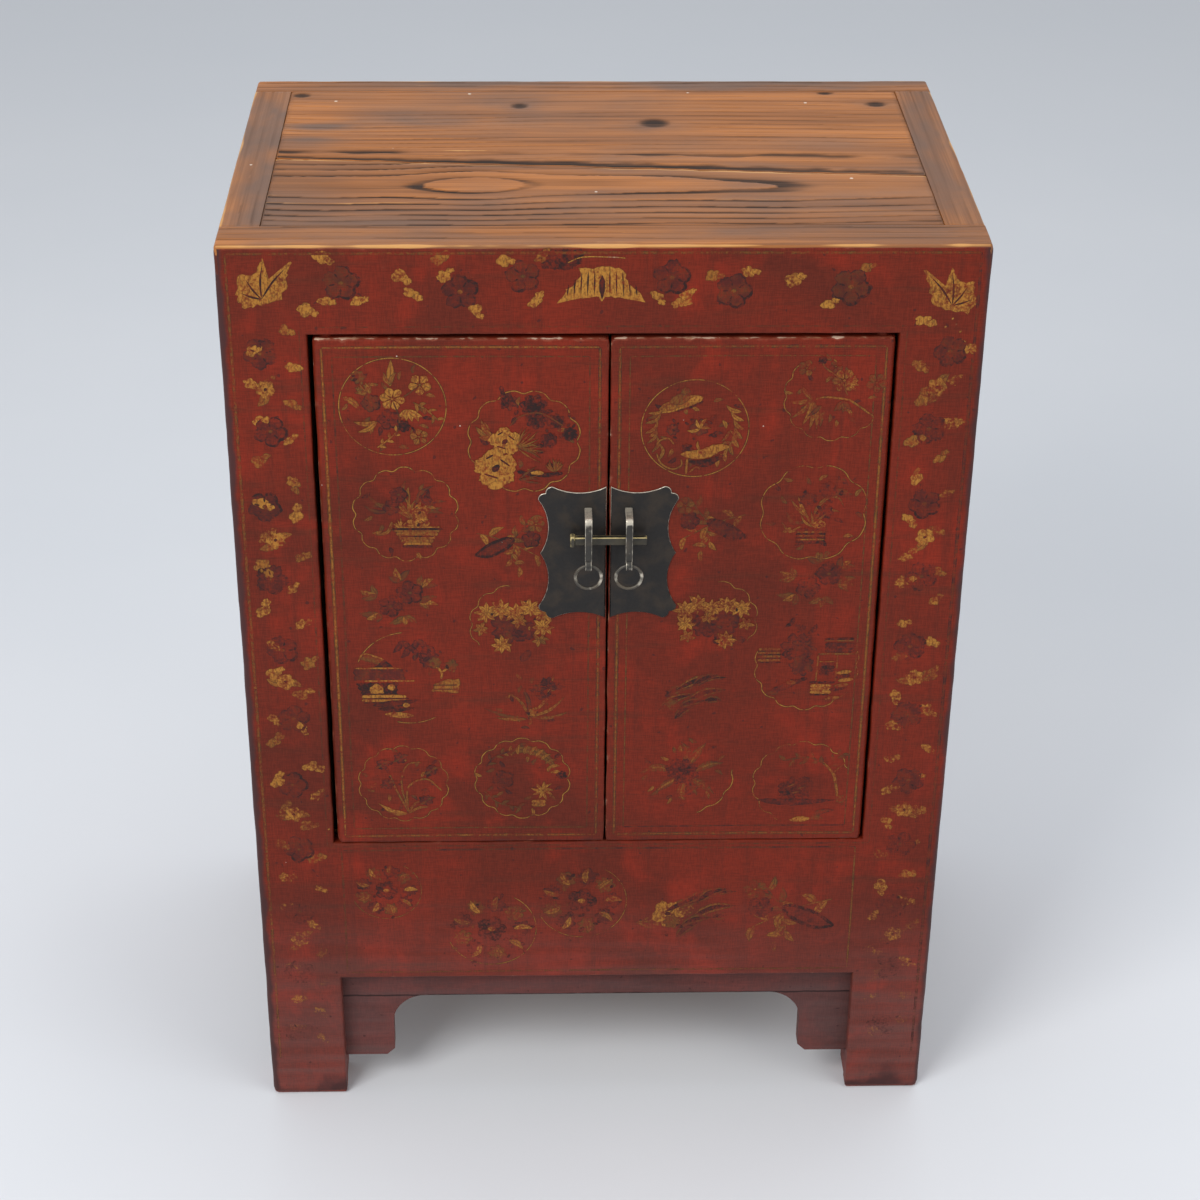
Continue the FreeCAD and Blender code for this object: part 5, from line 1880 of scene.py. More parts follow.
    # Two plum blossoms among slender leaves in twos and threes.
    FLOWER_SPRAY = (
        ("sprig", (-62, 10), (110, 160, 200)), ("sprig", (-60, -45), (180, 215, 260)),
        ("sprig", (0, 50), (60, 105, 150)), ("sprig", (50, 30), (10, 45, 85)),
        ("sprig", (45, -15), (-45, -10, 25)), ("sprig", (5, -55), (215, 270, 320)),
        ("plum_flower", (-30, -25), 33), ("plum_flower", (22, 15), 36),
    )
    # A leaning branch with a long plum leaf, blossoms and paired leaves.
    BRANCH_SPRAY = (
        ("twig", [(-90, 30), (-40, 16), (10, -6), (75, -42)], 42, 7, OCHRE),
        ("twig", [(-10, 0), (25, 35), (50, 75)], 36, 5, OLIVE),
        ("twig", [(10, -10), (0, -45), (25, -75)], 34, 5, OCHRE), ("patch", LONG_LEAF, PLUM),
        ("line", LONG_LEAF + LONG_LEAF[:1], 7, INK), ("plum_flower", (50, 12), 26),
        ("blossom", (62, 55), 22, OLIVE),
    )
    # A mass of small gold leaves over dark foliage, inside a part of a scalloped line.
    GOLD_BUSH = (
        ("ring", 12, 7, (95, 215)), ("clump", (-10, -10), 46, PLUM, 10), ("clump", (20, -16), 30, PLUM, 6),
        *(
            mark
            for spot in ((-62, 30), (-30, 38), (2, 30), (34, 42), (62, 26), (60, -8), (-30, -52))
            for mark in (("clump", spot, 17, OCHRE, 3), ("fan", spot, (0, 315), 8, 27, 11, GOLD))
        ),
        *(("fan", spot, (0, 320), 6, 20, 10, OCHRE) for spot in ((55, -40), (10, 8), (-75, -10))),
    )
    # Long faded leaves that sweep up to the right.
    DARK_SPRAY = (
        *(
            ("leaf", base, tip, width, tone, 0.1)
            for base, tip in (
                ((-80, -35), (10, 10)), ((-65, 5), (10, 30)), ((-40, 20), (80, 55)), ((-10, -10), (80, 20)),
                ((-30, -30), (30, -10)), ((0, 30), (60, 62)), ((-40, -60), (10, -20)), ((30, -10), (70, -10)),
            )
            for width, tone in ((20, OLIVE), (10, INK))
        ),
        ("clump", (-50, -20), 20, OLIVE, 5),
    )
    # An orchid plant: long bent leaves from one root, and dark petals.
    ORCHID = (
        ("sprinkle", 14, 20, 75), ("leaf", (0, -50), (-98, -20), 9, OLIVE, 0.06),
        ("leaf", (0, -50), (-75, -45), 8, OCHRE, 0.05), ("leaf", (2, -50), (-15, 42), 10, OLIVE, -0.1),
        ("leaf", (5, -50), (-50, 25), 7, OCHRE, -0.12),
        ("leaves", (5, -45), [(85, 10), (95, -30), (60, 70)], 8, OCHRE, -0.1),
        *(("fan", spot, (20, 160), 4, 24, 10, PLUM) for spot in ((45, 40), (22, 22), (65, 28), (42, 5))),
        ("clump", (12, -32), 14, OCHRE, 5),
    )
    # A scalloped picture of arching stems from one root.
    STEM_ROUNDEL = (
        ("ring", 14), ("sprinkle", 18), ("line", [(10, -78), (-15, -20), (-30, 25)], 5, OCHRE),
        ("line", [(10, -78), (-5, 0), (10, 50), (42, 56)], 5, OCHRE),
        ("line", [(8, -75), (10, -10), (50, 12), (85, -20)], 5, OCHRE),
        ("leaf", (8, -80), (-60, -50), 10, GOLD, 0.1),
        ("leaves", (8, -80), [(-42, -72), (60, -62), (46, -40)], 7, OCHRE),
        *(
            mark
            for u, v in ((-45, 52), (-6, 68), (50, -45), (-35, 0), (62, 35))
            for mark in (
                ("clump", (u, v), 16),
                ("leaves", (u, v), [(u + 20, v + 8), (u - 18, v - 10)], 6, OLIVE),
            )
        ),
    )
    # A scalloped picture of a feathery crescent, a plum blossom and a gold burst.
    WREATH = (
        ("ring", 14), ("sprinkle", 18),
        ("line", [polar(72, a) for a in range(110, 5, -12)], 20, OLIVE, BLADE),
        *(("leaf", polar(60, a), polar(86, a, 8), 8, OCHRE) for a in range(110, 5, -12)),
        ("clump", (82, 8), 12, INK, 3), ("plum_flower", (-40, -2), 24),
        ("fan", (42, -30), (0, 330), 9, 26, 7, GOLD), ("bars", 18, 50, [-58, -66], 9, OCHRE),
        ("twig", [(-80, -30), (-50, -60), (0, -75)], 20, 6, OLIVE),
        ("twig", [(-75, 30), (-55, 55), (-20, 70)], 18, 5, OLIVE),
    )
    # A faded plant: a dark heart with arching leaves, inside a part of a round line.
    DARK_FLOWER = (
        ("ring", 12, 5, (-75, 5)),
        *(
            ("line", curve, width, tone, BLADE)
            for curve in (
                [(-20, 5), (-55, 14), (-90, 0)], [(0, 20), (6, 50), (-8, 76)], [(10, 20), (26, 50), (42, 72)],
                [(20, 5), (50, 20), (78, 24)], [(-10, -10), (-40, -30), (-60, -50)],
                [(10, -10), (40, -30), (62, -52)], [(0, -20), (-5, -50), (5, -75)],
            )
            for width, tone in ((16, OLIVE), (5, OCHRE))
        ),
        ("clump", (0, 2), 34, PLUM, 8), ("clump", (2, -2), 22, INK, 6), ("sprinkle", 16, 40, 80),
    )
    # A faded round of leaf bits and dark dabs about a small dark blossom.
    ROSETTE = (
        ("ring", 0, 6, (200, 420)),
        *(
            mark
            for a in range(0, 360, 40)
            for mark in (
                ("clump", polar(68, a), 24, OLIVE if a % 80 else PLUM, 4),
                ("leaf", polar(50, a), polar(92, a), 14, OCHRE if a % 120 else GOLD),
            )
        ),
        *(("patch", lobed(1, 0.1), INK, polar(20, a), 15) for a in range(0, 360, 72)),
        ("blot", (0, 0), 18, 14, GOLD),
    )
    # A part-scalloped picture of a dark animal on a bank, under a leaning tree.
    GRAZING = (
        ("ring", 14, 6, (20, 250)), ("patch", GRAZER, INK), ("patch", lobed(5, 0.2), INK, (-32, -12), 17),
        ("line", [(-30, -10), (-10, 0)], 3.5, OCHRE, BLADE),
        ("line", [(-10, -14), (10, -8)], 3.5, OCHRE, BLADE),
        ("line", [(-20, -24), (-2, -20)], 3.5, OCHRE, BLADE),
        ("line", [(-90, -40), (-20, -46), (70, -42)], 16, PLUM, BLADE),
        ("line", [(74, -42), (68, 0), (60, 26), (32, 58)], 6, OCHRE),
        ("line", [(62, 24), (86, 50)], 4, OCHRE), ("twig", [(45, 45), (10, 62), (-40, 55)], 22, 7, OLIVE),
        ("twig", [(55, 35), (70, 60), (80, 70)], 20, 5, OLIVE), ("clump", (80, -40), 12, OLIVE, 3),
        ("blot", (0, -88), 42, 13, GOLD, 4), ("leaves", (20, -86), [(70, -66), (50, -90)], 12, OLIVE),
    )
    # A butterfly with drooping wings spread to both sides.
    BUTTERFLY = (
        ("patch", [(0, -34), *WING, (0, 50), *((-u, v) for u, v in WING[::-1])], GOLD),
        ("line", [(0, 30), (0, -28)], 12, INK, BLADE),
        *(
            ("line", [(side * u, 40 - max(u - 40, 0)), (side * 1.05 * u, -20)], 3, INK, BLADE)
            for u in (16, 30, 44, 58, 72)
            for side in (-1, 1)
        ),
    )
    # A butterfly at rest, with its wings raised in points.
    MOTH = (
        ("patch", RAISED_WINGS, GOLD),
        ("leaves", (-5, -55), [(90, 70), (5, 85), (-60, 25), (-80, -30)], 7, INK, 0.04),
    )


@dataclass
class Motif:
    """A painted motif at a place on the skin. Its marks are given in hundredths of its size."""

    brush: Brush
    x: float
    z: float
    size: float
    worn: float = 0.45
    turn: float = 0.0
    mirrored: bool = False
    weight: float = 1.1
    ring_hold: float = 0.1
    line_step: float = 1.3
    patch_step: float = 1.5
    brightest: float = 0.82

    def __post_init__(self) -> None:
        """Shares the brush's random numbers."""
        self.chance = self.brush.chance

    def draw(self, picture: Picture) -> None:
        """Lays the marks of a picture, in order."""
        for move, *given in picture.value:
            getattr(self, move)(*given)

    @property
    def unit(self) -> float:
        """Millimetres in one of the motif's own units."""
        return self.size / UNITS

    def to_skin(self, spots: Array) -> Array:
        """Places on the skin for places in the motif's own units."""
        spots = np.asarray(spots, float) * (np.array([-1, 1]) if self.mirrored else 1)
        cos, sin = math.cos(self.turn), math.sin(self.turn)
        return np.array([self.x, self.z]) + self.unit * spots @ np.array([[cos, sin], [-sin, cos]])

    def loosened(self, value: float, spread: float, most: float = 1.0) -> float:
        """A tone or a wear moved a little at random, and kept between 0 and the most."""
        return float(np.clip(value + self.chance.normal(0, spread), 0, most))

    def line(self, spots: list[Pair] | Array, width: float, tone: Tone, shape: Shape = LINE) -> None:
        """A stroke through some spots."""
        rough = self.to_skin(spots)
        length = np.hypot(*np.diff(rough, axis=0).T).sum()
        count = int(np.clip(length / self.line_step, 6, 400))
        curve = curve_through(rough, 4 * count)
        share = (1 - np.cos(np.linspace(0, math.pi, count))) / 2
        if shape is LINE:
            share = np.linspace(0, 1, count)
        tint = self.loosened(tone.value, 0.05, max(tone.value, self.brightest))
        worn = self.loosened(self.worn, 0.06)
        self.brush.stroke(paced(curve, share), self.weight * width * self.unit, tint, shape, worn)

    def patch(self, outline: list[Pair] | Array, tone: Tone, spot: Pair = (0, 0), size: float = 1.0) -> None:
        """A filled patch from an outline in straight lines, set at a spot and scaled."""
        corners = np.asarray(outline, float)
        closed = np.concatenate([corners, corners[:1]])
        length = self.unit * size * np.hypot(*np.diff(closed, axis=0).T).sum()
        count = int(np.clip(length / self.patch_step, 18, 72))
        edge = np.array(spot) + size * paced(closed, np.linspace(0, 1, count, endpoint=False))
        tint = self.loosened(tone.value, 0.03)
        self.brush.patch(self.to_skin(edge), tint, self.loosened(self.worn, 0.05))

    def leaf(self, base: Pair, tip: Pair, width: float, tone: Tone, bend: float = 0.12) -> None:
        """A blade from base to tip, bent to its left by a share of its length."""
        (a, b), (c, d) = base, tip
        middle = ((a + c) / 2 - bend * (d - b), (b + d) / 2 + bend * (c - a))
        self.line([base, middle, tip], width, tone, BLADE)

    def leaves(self, base: Pair, tips: list[Pair], width: float, tone: Tone, bend: float = 0.12) -> None:
        """Several blades from one base."""
        for tip in tips:
            self.leaf(base, tip, width, tone, bend)

    def blot(self, spot: Pair, length: float, width: float, tone: Tone, angle: float = 0.0) -> None:
        """An oval, turned by an angle in degrees."""
        way = np.array(polar(length / 2, angle))
        self.line([np.array(spot) - way, spot, np.array(spot) + way], width, tone, OVAL)

    def fan(self, base: Pair, angles: Pair, count: int, length: float, width: float, tone: Tone) -> None:
        """Blades spread from one base between two angles in degrees, each a little different in length."""
        for angle in np.linspace(*angles, count):
            tip = np.add(base, polar(length * self.chance.uniform(0.8, 1.1), angle))
            self.leaf(base, tip, width, tone, self.chance.uniform(-0.1, 0.14))

    def sprig(self, base: Pair, angles: tuple[float, ...]) -> None:
        """Slender leaves from one base at some angles, olive and ochre by turns."""
        for number, angle in enumerate(angles):
            u, v = polar(self.chance.uniform(36, 55), angle)
            self.leaf(base, (base[0] + u, base[1] + 0.8 * v), 17, OCHRE if number % 2 else OLIVE, 0.1)

    def blossom(self, spot: Pair, radius: float, tone: Tone, petals: int = 5) -> None:
        """Round petals about an ochre eye."""
        start = self.chance.uniform(0, math.tau)
        for angle in start + np.arange(petals) * math.tau / petals:
            inner, outer = toward(spot, 0.12 * radius, angle), toward(spot, 1.1 * radius, angle)
            width = radius * 1.4 * math.sin(math.pi / petals)
            self.line([inner, (inner + outer) / 2, outer], width, tone, PETAL)
        self.blot(spot, 0.3 * radius, 0.26 * radius, OCHRE)

    def plum_flower(self, spot: Pair, radius: float) -> None:
        """A dark plum blossom: five thin lobes with an ink edge on one side, and a worn gold eye."""
        turn = self.chance.uniform(0, math.tau)
        outline = lobed(5, 0.3, turn)
        self.patch(outline, PLUM, spot, radius)
        start = int(self.chance.integers(24, 44))
        shade = np.array(spot) + 0.93 * radius * np.roll(outline, -start, axis=0)[:30]
        self.line(shade, 0.16 * radius, INK, BLADE)
        for angle in turn + math.pi / 5 + np.arange(5) * math.tau / 5:
            vein = [toward(spot, share * radius, angle) for share in (0.3, 0.66)]
            self.line(vein, 0.1 * radius, INK, BLADE)
        self.blot(spot, 0.3 * radius, 0.24 * radius, OLIVE)

    def clump(self, spot: Pair, radius: float, tone: Tone = PLUM, count: int = 6) -> None:
        """Foliage dabbed with a brush: a ragged patch with dabs about it."""
        self.patch(lobed(7, 0.4, self.chance.uniform(0, math.tau)), tone, spot, 0.95 * radius)
        for _ in range(count):
            dab = np.array(spot) + self.chance.normal(0, 0.65 * radius, 2)
            size = radius * self.chance.uniform(0.4, 0.8)
            dark = INK if self.chance.random() < 0.4 else tone
            self.blot(tuple(dab), size, 0.55 * size, dark, self.chance.uniform(0, 180))

    def sprinkle(self, count: int, inner: float = 30, outer: float = 85, size: float = 20) -> None:
        """Small leaves in all the tones strewn between two radii, pointing more or less outwards."""
        tones = (OLIVE, OCHRE, PLUM, OLIVE, OCHRE)
        for number in range(count):
            angle = math.tau * (number + self.chance.uniform(-0.3, 0.3)) / count
            reach = self.chance.uniform(inner, outer)
            way = angle + self.chance.normal(0, 0.7)
            base = toward((0, 0), reach, angle)
            self.leaf(base, toward(base, size, way), 0.4 * size, tones[number % len(tones)])

    def ring(self, scallops: int = 0, depth: float = 6, arc_of: Pair = (0, 360)) -> None:
        """The line round a motif, of radius UNITS - depth * cos(n * angle / 2) ** 4, worn away unevenly.

        Args:
            scallops: how many waves it has round the whole circle, or none for a circle.
            depth: how far the waves dip in.
            arc_of: the angles that the line runs between.
        """
        hold = self.worn
        steps = max(2, round((arc_of[1] - arc_of[0]) / 40))
        turns = np.linspace(*arc_of, steps + 1)
        for start, end in zip(turns[:-1], turns[1:]):
            angle = np.radians(np.linspace(start, end, 40))
            radius = UNITS - (depth * np.cos(scallops * angle / 2) ** 4 if scallops else 0.0 * angle)
            part = np.stack([radius * np.cos(angle), radius * np.sin(angle)], axis=1)
            self.worn = hold - self.ring_hold + self.chance.normal(0, 0.12)
            self.line(part, 3.4, OLIVE)
            self.line(part, 2.4, GOLD)
        self.worn = hold

    def twig(self, spots: list[Pair], leaf: float, count: int, tone: Tone) -> None:
        """A stem through some spots, with leaves to both sides."""
        self.line(spots, 3.5, tone)
        stem = curve_through(spots, 2 * count + 1)
        ahead = np.gradient(stem, axis=0)
        for number, (spot, way) in enumerate(zip(stem[1::2], ahead[1::2])):
            angle = math.atan2(way[1], way[0]) + (0.85 if number % 2 else -0.85)
            reach = leaf * self.chance.uniform(0.75, 1.15)
            self.leaf(spot, toward(spot, reach, angle), 0.38 * leaf, tone, 0.1)

    def rock(self, spot: Pair, radius: float) -> None:
        """A pierced garden rock: a lumpy gold patch, a hole and dark cracks."""
        self.patch(lobed(5, 0.3, 0.4), GOLD, spot, 1.1 * radius)
        self.blot(spot, 0.5 * radius, 0.3 * radius, INK, 50)
        cracks = (((-0.6, -0.3), (0.1, -0.55)), ((0.2, 0.5), (0.7, 0.1)), ((-0.5, 0.5), (-0.1, 0.75)))
        for crack in cracks:
            self.line(np.array(spot) + radius * np.array(crack), 0.09 * radius, INK)

    def bars(self, left: float, right: float, levels: list[float], width: float, tone: Tone) -> None:
        """Level lines between two sides."""
        for v in levels:
            self.line([(left, v), (right, v)], width, tone)

    def bowl(self, left: float, right: float, rim: float, foot: float) -> None:
        """A shallow bowl: rows that narrow to the foot, with dark lines at the rim and the foot."""
        for share in np.linspace(0, 1, 5):
            inset = 0.2 * share * (right - left)
            self.bars(left + inset, right - inset, [rim + share * (foot - rim)], 9.5, OCHRE)
        self.bars(left - 4, right + 4, [rim + 3], 5, INK)
        self.bars(left, right, [rim + 7], 3, GOLD)
        self.bars(left + 16, right - 16, [foot - 4], 6, INK)
        self.bars(left + 12, right - 12, [rim - 13], 3, INK)

    def leaf_bit(self) -> None:
        """A small lobed gold leaf with a lesser one beside it, as strewn along the frame."""
        tone = GOLD if self.chance.random() < 0.6 else OCHRE
        for spot, size in (((0, 0), 85), ((75, self.chance.uniform(-60, 60)), 55)):
            stretch = np.array([1.0, self.chance.uniform(0.55, 0.95)])
            outline = lobed(int(self.chance.integers(3, 6)), 0.4, self.chance.uniform(0, 2))
            self.patch(outline * stretch, tone, spot, size)

    def gold_flower(self) -> None:
        """A gold blossom with a leaf on each side."""
        self.leaves((0, 0), [(-130, -35), (125, 30)], 60, OCHRE)
        self.patch(lobed(5, 0.35, self.chance.uniform(0, 1)), GOLD, (0, 10), 70)
        self.blot((0, 10), 26, 20, INK)


# The pictures of each door, row by row from the top: X and Z of the middle, size, wear, and whether mirrored.
DOOR_PICTURES: dict[str, tuple[tuple[Picture, float, float, float, float, bool], ...]] = {
    "door_left": (
        (Picture.PLANT_CIRCLE, -167.3, 708.2, 42.5, 0.40, False),
        (Picture.ROCK_ROUNDEL, -63.1, 677.0, 45.7, 0.42, False),
        (Picture.PLANTER, -159.8, 611.4, 43.3, 0.46, False),
        (Picture.BRANCH_SPRAY, -74.0, 584.0, 32.0, 0.42, False),
        (Picture.FLOWER_SPRAY, -165.4, 533.1, 32.0, 0.44, False),
        (Picture.GOLD_BUSH, -72.0, 507.0, 38.0, 0.42, False),
        (Picture.PAVILION, -161.8, 454.8, 44.9, 0.42, False),
        (Picture.ORCHID, -62.0, 432.0, 38.0, 0.48, False),
        (Picture.STEM_ROUNDEL, -169.3, 347.5, 39.1, 0.48, False),
        (Picture.WREATH, -66.8, 352.0, 41.6, 0.46, False),
    ),
    "door_right": (
        (Picture.SCROLL_CIRCLE, 73.6, 688.1, 43.1, 0.42, False),
        (Picture.BAMBOO, 182.8, 716.2, 39.5, 0.52, False),
        (Picture.BASKET, 172.4, 611.1, 44.6, 0.54, False),
        (Picture.BRANCH_SPRAY, 88.0, 600.0, 33.0, 0.48, True),
        (Picture.FLOWER_SPRAY, 181.0, 549.0, 32.0, 0.50, False),
        (Picture.GOLD_BUSH, 93.0, 510.0, 38.0, 0.48, True),
        (Picture.TERRACE, 173.9, 465.1, 44.5, 0.50, False),
        (Picture.DARK_SPRAY, 78.0, 434.0, 36.0, 0.50, False),
        (Picture.DARK_FLOWER, 73.0, 356.5, 43.2, 0.50, False),
        (Picture.GRAZING, 175.5, 345.1, 43.2, 0.52, False),
    ),
}


# The frame's plum flowers with their sizes, the leaves between them, and the chalk spots, by X and Z.
FRIEZE_FLOWERS = (
    (-203.6, 814.4, 15.0), (-112.0, 806.7, 15.0), (-63.0, 819.6, 14.0),
    (52.3, 818.4, 15.0), (100.6, 807.0, 15.0), (191.6, 810.2, 16.0),
)
FRIEZE_LEAVES = (
    (-232, 792), (-218, 836), (-158, 820), (-150, 806), (-128, 834), (-54, 798), (58, 797), (146, 816),
)
CHALK_SPOTS = ((284, 790), (273, 783), (268, 776), (280, 772), (276, 778), (-236, 300))


@dataclass
class Painting:
    """The painting on one skin: where its motifs stand, and the lines that frame them."""

    coat: Coat
    seed: int
    line_inset: float = 7.0
    line_step: float = 8.0
    opening_line: Limits = (-238.0, 238.0, 281.0, 777.0)
    board_line: Limits = (-226.0, 226.0, 142.0, 277.0)
    post_top: float = 778.0
    post_end: float = 60.0
    leaf_step: float = 17.0
    leaf_x: float = 264.0
    flower_x: float = 266.0
    post_wear: tuple[Place, Place] = ((60, 320, 770), (0.70, 0.56, 0.42))
    right_wear: float = 0.04

    def __post_init__(self) -> None:
        """Takes up the brush."""
        self.brush = Brush(self.coat, self.seed)

    def place_motif(
        self, x: float, z: float, size: float, worn: float, turn: float = 0.0, mirrored: bool = False
    ) -> Motif:
        """A motif at a place on the skin, with its strokes laid from the skin up."""
        self.brush.laid = 0.17 * (len(self.brush.strokes) % 6)
        return Motif(self.brush, x, z, size, worn, turn, mirrored)

    def border(self, limits: Limits, width: float, tone: Tone, worn: float, closed: bool = True) -> None:
        """A rectangle of painted lines, drawn as a motif whose units are millimetres.

        Args:
            limits: left, right, lower and upper side.
            width: the lines' width.
            tone: their pigment.
            worn: how far they are rubbed away.
            closed: whether it has a lower line.
        """
        left, right, low, high = limits
        sheet = self.place_motif(0.0, 0.0, UNITS, worn)
        lines = [((left, low), (left, high)), ((right, low), (right, high)), ((left, high), (right, high))]
        if closed:
            lines.append(((left, low), (right, low)))
        for start, end in lines:
            middle = ((start[0] + end[0]) / 2 + 0.4, (start[1] + end[1]) / 2 + 0.4)
            sheet.line([start, middle, end], width, tone)

    def limits(self) -> Limits:
        """Left, right, lower and upper side of the skin."""
        across = [edge.place for edge in self.coat.edges if edge.upright]
        up = [edge.place for edge in self.coat.edges if not edge.upright]
        return min(across), max(across), min(up), max(up)

    def door(self) -> None:
        """The painting of a door: an ochre line inside its edges, a fainter one in it, and the pictures."""
        left, right, low, high = self.limits()
        for inset, width, tone, worn in (
            (self.line_inset, 3.0, OLIVE, 0.44),
            (self.line_inset, 1.9, OCHRE, 0.48),
            (self.line_inset + self.line_step, 1.3, OLIVE, 0.48),
        ):
            self.border((left + inset, right - inset, low + inset, high - inset), width, tone, worn)
        for picture, x, z, size, worn, mirrored in DOOR_PICTURES[self.coat.body]:
            self.place_motif(x, z, size, worn, mirrored=mirrored).draw(picture)

    def frame(self) -> None:
        """The painting of the frame: butterflies and flowers above, strewn leaves beside, rounds below."""
        left, right, low, high = self.limits()
        self.border((left + 9, right - 9, low + 40, high - 4), 2.6, OLIVE, 0.56, closed=False)
        self.border(self.opening_line, 1.2, OLIVE, 0.56)
        self.border(self.board_line, 1.8, OLIVE, 0.52)
        self.frieze()
        for side in (-1, 1):
            self.post(side)
        motif = self.place_motif
        motif(-188.0, 233.5, 31.0, 0.52).draw(Picture.ROSETTE)
        motif(-95.5, 190.0, 40.0, 0.58).draw(Picture.ROSETTE)
        motif(-15.0, 220.0, 40.0, 0.54).draw(Picture.ROSETTE)
        motif(88.0, 205.0, 44.0, 0.56).draw(Picture.DARK_SPRAY)
        motif(62.0, 203.0, 22.0, 0.55).gold_flower()
        motif(168.0, 206.0, 46.0, 0.55, mirrored=True).draw(Picture.BRANCH_SPRAY)

    def frieze(self) -> None:
        """The painting over the doors, with chalk spots on the right post and one on the left."""
        motif, chance = self.place_motif, self.brush.chance
        motif(-264.4, 812.5, 21.0, 0.40).draw(Picture.MOTH)
        motif(-1.8, 809.7, 36.0, 0.38).draw(Picture.BUTTERFLY)
        motif(270.7, 805.2, 20.0, 0.44, mirrored=True).draw(Picture.MOTH)
        dark = [(-100, -50), (20, -60), (100, -20), (100, 50), (-100, 50)]
        motif(-33.0, 834.0, 16.0, 0.42).patch(dark, INK)
        motif(-5.0, 833.0, 24.0, 0.36).line([(-100, -10), (-50, 10), (40, 10), (90, 6)], 5, CHALK)
        for x, z, size in FRIEZE_FLOWERS:
            motif(x, z, size, 0.42).plum_flower((0, 0), UNITS)
            for side in (-1, 1):
                bit_x, bit_z = x + side * chance.uniform(8, 18), z + chance.choice([-15, 13, 16])
                motif(bit_x, bit_z, 7.5, 0.42, chance.uniform(-0.6, 0.6)).leaf_bit()
        for x, z in FRIEZE_LEAVES:
            motif(x, z, 8.5, 0.42, chance.uniform(-0.8, 0.8)).leaf_bit()
        for x, z in CHALK_SPOTS:
            motif(x, z, 2.4, 0.3).blot((0, 0), UNITS, 70, CHALK, 40)

    def post(self, side: int) -> None:
        """Leaves and flowers strewn down one post, fainter towards its foot.

        Args:
            side: -1 for the left post, 1 for the right one.
        """
        motif, chance = self.place_motif, self.brush.chance
        for number, z in enumerate(np.arange(self.post_top, self.post_end, -self.leaf_step)):
            worn = float(np.interp(z, *self.post_wear)) + (self.right_wear if side > 0 else 0.0)
            aside = float(np.clip(chance.normal(0, 3), -5, 5))
            x = side * (self.leaf_x + (13 if number % 2 else -14) + aside)
            faded = worn + chance.normal(0.0, 0.06)
            bit_z, size = z + chance.normal(0, 3), chance.uniform(6.5, 9.5)
            motif(x, bit_z, size, faded, chance.uniform(-1, 1)).leaf_bit()
            if number % 4 == 1:
                middle = side * (self.flower_x + chance.uniform(-8, 8))
                motif(middle, z - 6, 14.0, worn).plum_flower((0, 0), UNITS)
            elif number % 8 == 3:
                motif(side * self.flower_x, z - 4, 12.0, worn, chance.uniform(-0.8, 0.8)).gold_flower()


@dataclass
class Joinery:
    """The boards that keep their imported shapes, each with the finish that its place calls for."""

    lacquered: tuple[str, ...] = (
        "post_", "frieze_rail", "lower_board", "apron", "bracket_", "side_", "_stile", "_rail", "_panel",
    )
    crosswise: tuple[str, ...] = ("cleat", "bearer", "brace")
    board_kinds: int = 3
    board_shift: float = 1.7

    def build(self) -> None:
        """Gives every node that is still shown its material."""
        lacquer = Lacquer("board_lacquer", on_skin=False).material()
        # The apron and brackets get a darker, greyer copy of the lacquer: painted shade, for where they sit
        # back under the lower board.
        shaded = Lacquer(
            "apron_lacquer",
            paint(88, 38, 32), paint(74, 36, 32), paint(100, 41, 34), paint(64, 36, 33),
            on_skin=False,
            joint_height=span("apron")[0][2] * MM,
        ).material()
        seams = tuple(span(f"back_board_{number}")[0][2] * MM for number in (2, 3))
        backs, lengthwise = (
            [
                BareWood(f"{name}_{n}", Grain.ALONG_X, shift=self.board_shift * n, seams=cuts).material()
                for n in range(self.board_kinds)
            ]
            for name, cuts in (("back_wood", seams), ("bare_wood", ()))
        )
        crosswise = BareWood("bare_wood_crosswise", Grain.ALONG_Y).material()
        upright = BareWood("bare_wood_upright", Grain.ALONG_Z).material()
        iron = Iron("wrought_iron").material()
        for number, (name, node) in enumerate(sorted(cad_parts.items())):
            kind = number % self.board_kinds
            if name.startswith("back_"):
                finish = backs[kind]
            elif name.startswith("door_") and name.endswith("_panel"):
                finish = upright
            elif any(word in name for word in ("lock_", "staple", "ring")) and "stile" not in name:
                finish = iron
            elif any(word in name for word in self.lacquered):
                finish = shaded if name.startswith(("apron", "bracket")) else lacquer
            else:
                finish = crosswise if any(word in name for word in self.crosswise) else lengthwise[kind]
            node.data.materials.clear()
            node.data.materials.append(finish)


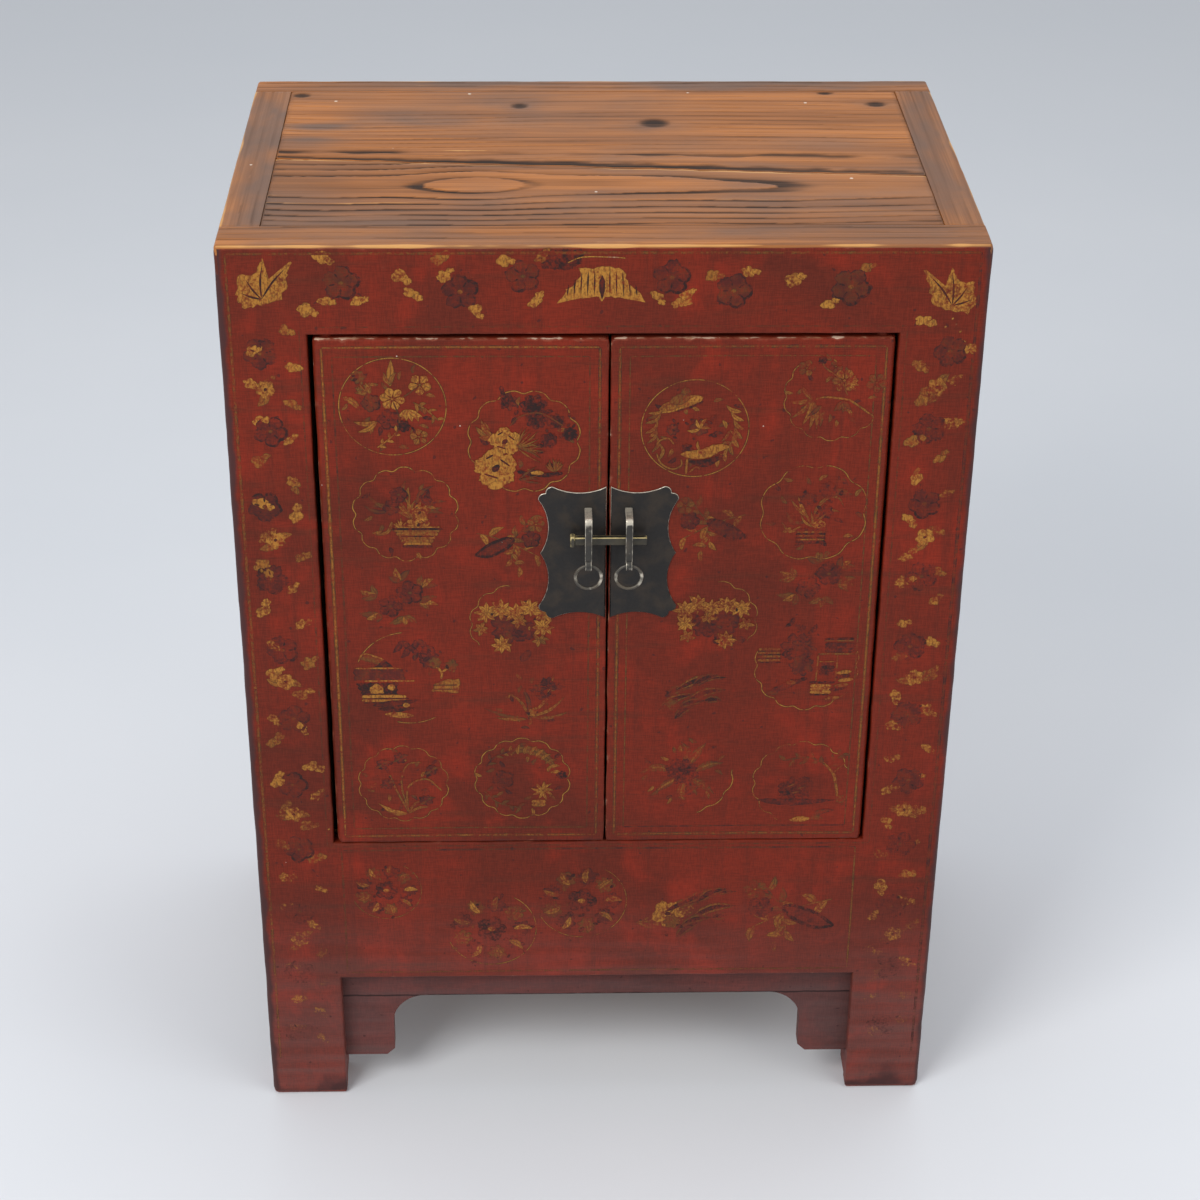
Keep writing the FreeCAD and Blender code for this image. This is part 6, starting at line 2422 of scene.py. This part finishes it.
@dataclass
class Studio:
    """Camera, soft light and a plain pale floor."""

    lens: float = 76.88
    place: Place = (-0.0572, -2.0163, 1.6)
    pitch: float = 30.2155
    yaw: float = -1.7478
    roll: float = 0.5524
    aim: Place = (0.0, 0.0, 0.42)
    air: Colour = (0.90, 0.92, 0.95, 1.0)
    air_light: float = 0.54
    air_shown: float = 0.85
    floor_reach: float = 7000.0

    def camera(self) -> None:
        """Sets the camera at the photograph's place, turned by yaw, then pitch, then roll."""
        data = bpy.data.cameras.new("camera")
        data.lens = self.lens
        data.clip_end = 50.0
        camera = add_object("camera", data)
        pitch, yaw, roll = (math.radians(angle) for angle in (self.pitch, self.yaw, self.roll))
        turn = Matrix.Rotation(yaw, 3, "Z") @ Matrix.Rotation(math.pi / 2 - pitch, 3, "X")
        turn = turn @ Matrix.Rotation(roll, 3, "Z")
        camera.matrix_world = Matrix.Translation(self.place) @ turn.to_4x4()
        bpy.context.scene.camera = camera

    def lamp(self, name: str, place: Place, size: float, power: float, colour: Colour) -> None:
        """Hangs a square lamp that faces the middle of the cabinet."""
        data = bpy.data.lights.new(name, "AREA")
        data.size = size
        data.energy = power
        data.color = colour[:3]
        lamp = add_object(name, data)
        lamp.location = place
        facing = Vector(self.aim) - lamp.location
        lamp.rotation_euler = facing.to_track_quat("-Z", "Y").to_euler()

    def world(self) -> None:
        """Even light from all round, and a pale background for the camera, metal and glass."""
        world = bpy.data.worlds.new("studio")
        world.use_nodes = True
        bpy.context.scene.world = world
        tree = Tree(world.node_tree)
        seen = tree.add("LightPath", out="Is Camera Ray")
        shown = tree.most(seen, seen.node.outputs["Is Glossy Ray"])
        shown = tree.most(shown, seen.node.outputs["Is Transmission Ray"])
        back = world.node_tree.nodes["Background"]
        tree.feed(back.inputs["Color"], self.air)
        tree.feed(back.inputs["Strength"], tree.fit(shown, 0.0, 1.0, self.air_light, self.air_shown))

    def floor(self) -> None:
        """A wide pale floor, faintly uneven."""
        side = np.linspace(-self.floor_reach, self.floor_reach, 9)
        x, y = np.meshgrid(side, side, indexing="ij")
        mesh = bpy.data.meshes.new("floor")
        sheet = Surface.grid(np.stack([x, y, np.zeros(x.shape)], axis=-1))
        mesh.from_pydata((sheet.points * MM).tolist(), [], sheet.quads.tolist())
        material, tree, shader = new_material("pale_floor")
        cloud = tree.noise(tree.place(), 1.6, 5.0)
        tree.feed(shader.inputs["Base Color"], tree.mix(cloud, paint(218, 223, 230), paint(230, 233, 238)))
        tree.feed(shader.inputs["Roughness"], tree.fit(cloud, 0.3, 0.7, 0.55, 0.7))
        mesh.materials.append(material)
        floor = add_object("floor", mesh)

    def build(self) -> None:
        """Sets up the whole studio."""
        bpy.context.scene.view_settings.view_transform = "Standard"
        self.camera()
        self.lamp("key", (-1.7, -2.1, 2.5), 1.6, 66.0, (1.0, 0.98, 0.95, 1.0))
        self.lamp("fill", (2.0, -1.6, 1.7), 1.8, 18.0, (1.0, 0.96, 0.9, 1.0))
        self.lamp("top", (0.2, 0.5, 3.0), 1.8, 22.0, (0.97, 0.98, 1.0, 1.0))
        self.world()
        self.floor()


def main() -> None:
    """Builds the cabinet's looks, sub-assembly by sub-assembly, and the studio round it."""
    logging.basicConfig(level=logging.INFO, format="%(name)s %(message)s")
    Studio().build()
    Joinery().build()
    PlankTop().build()
    lacquer = Lacquer("front_lacquer")
    skin, pigment = lacquer.material(), Pigment("painted_ornament", lacquer).material()
    coats = [FrameCoat().coat(), DoorCoat("left").coat(), DoorCoat("right").coat()]
    for coat in coats:
        coat.surface().piece(coat.name, coat.body, "red_lacquer", skin, coat.wall)
    for coat, seed in zip(coats, PAINTING_SEEDS):
        painting = Painting(coat, seed)
        if coat.body in DOOR_PICTURES:
            painting.door()
        else:
            painting.frame()
        painting.brush.piece(coat.name.replace("lacquer", "painting"), pigment)
    Lock().build()


if __name__ == "__main__":
    main()
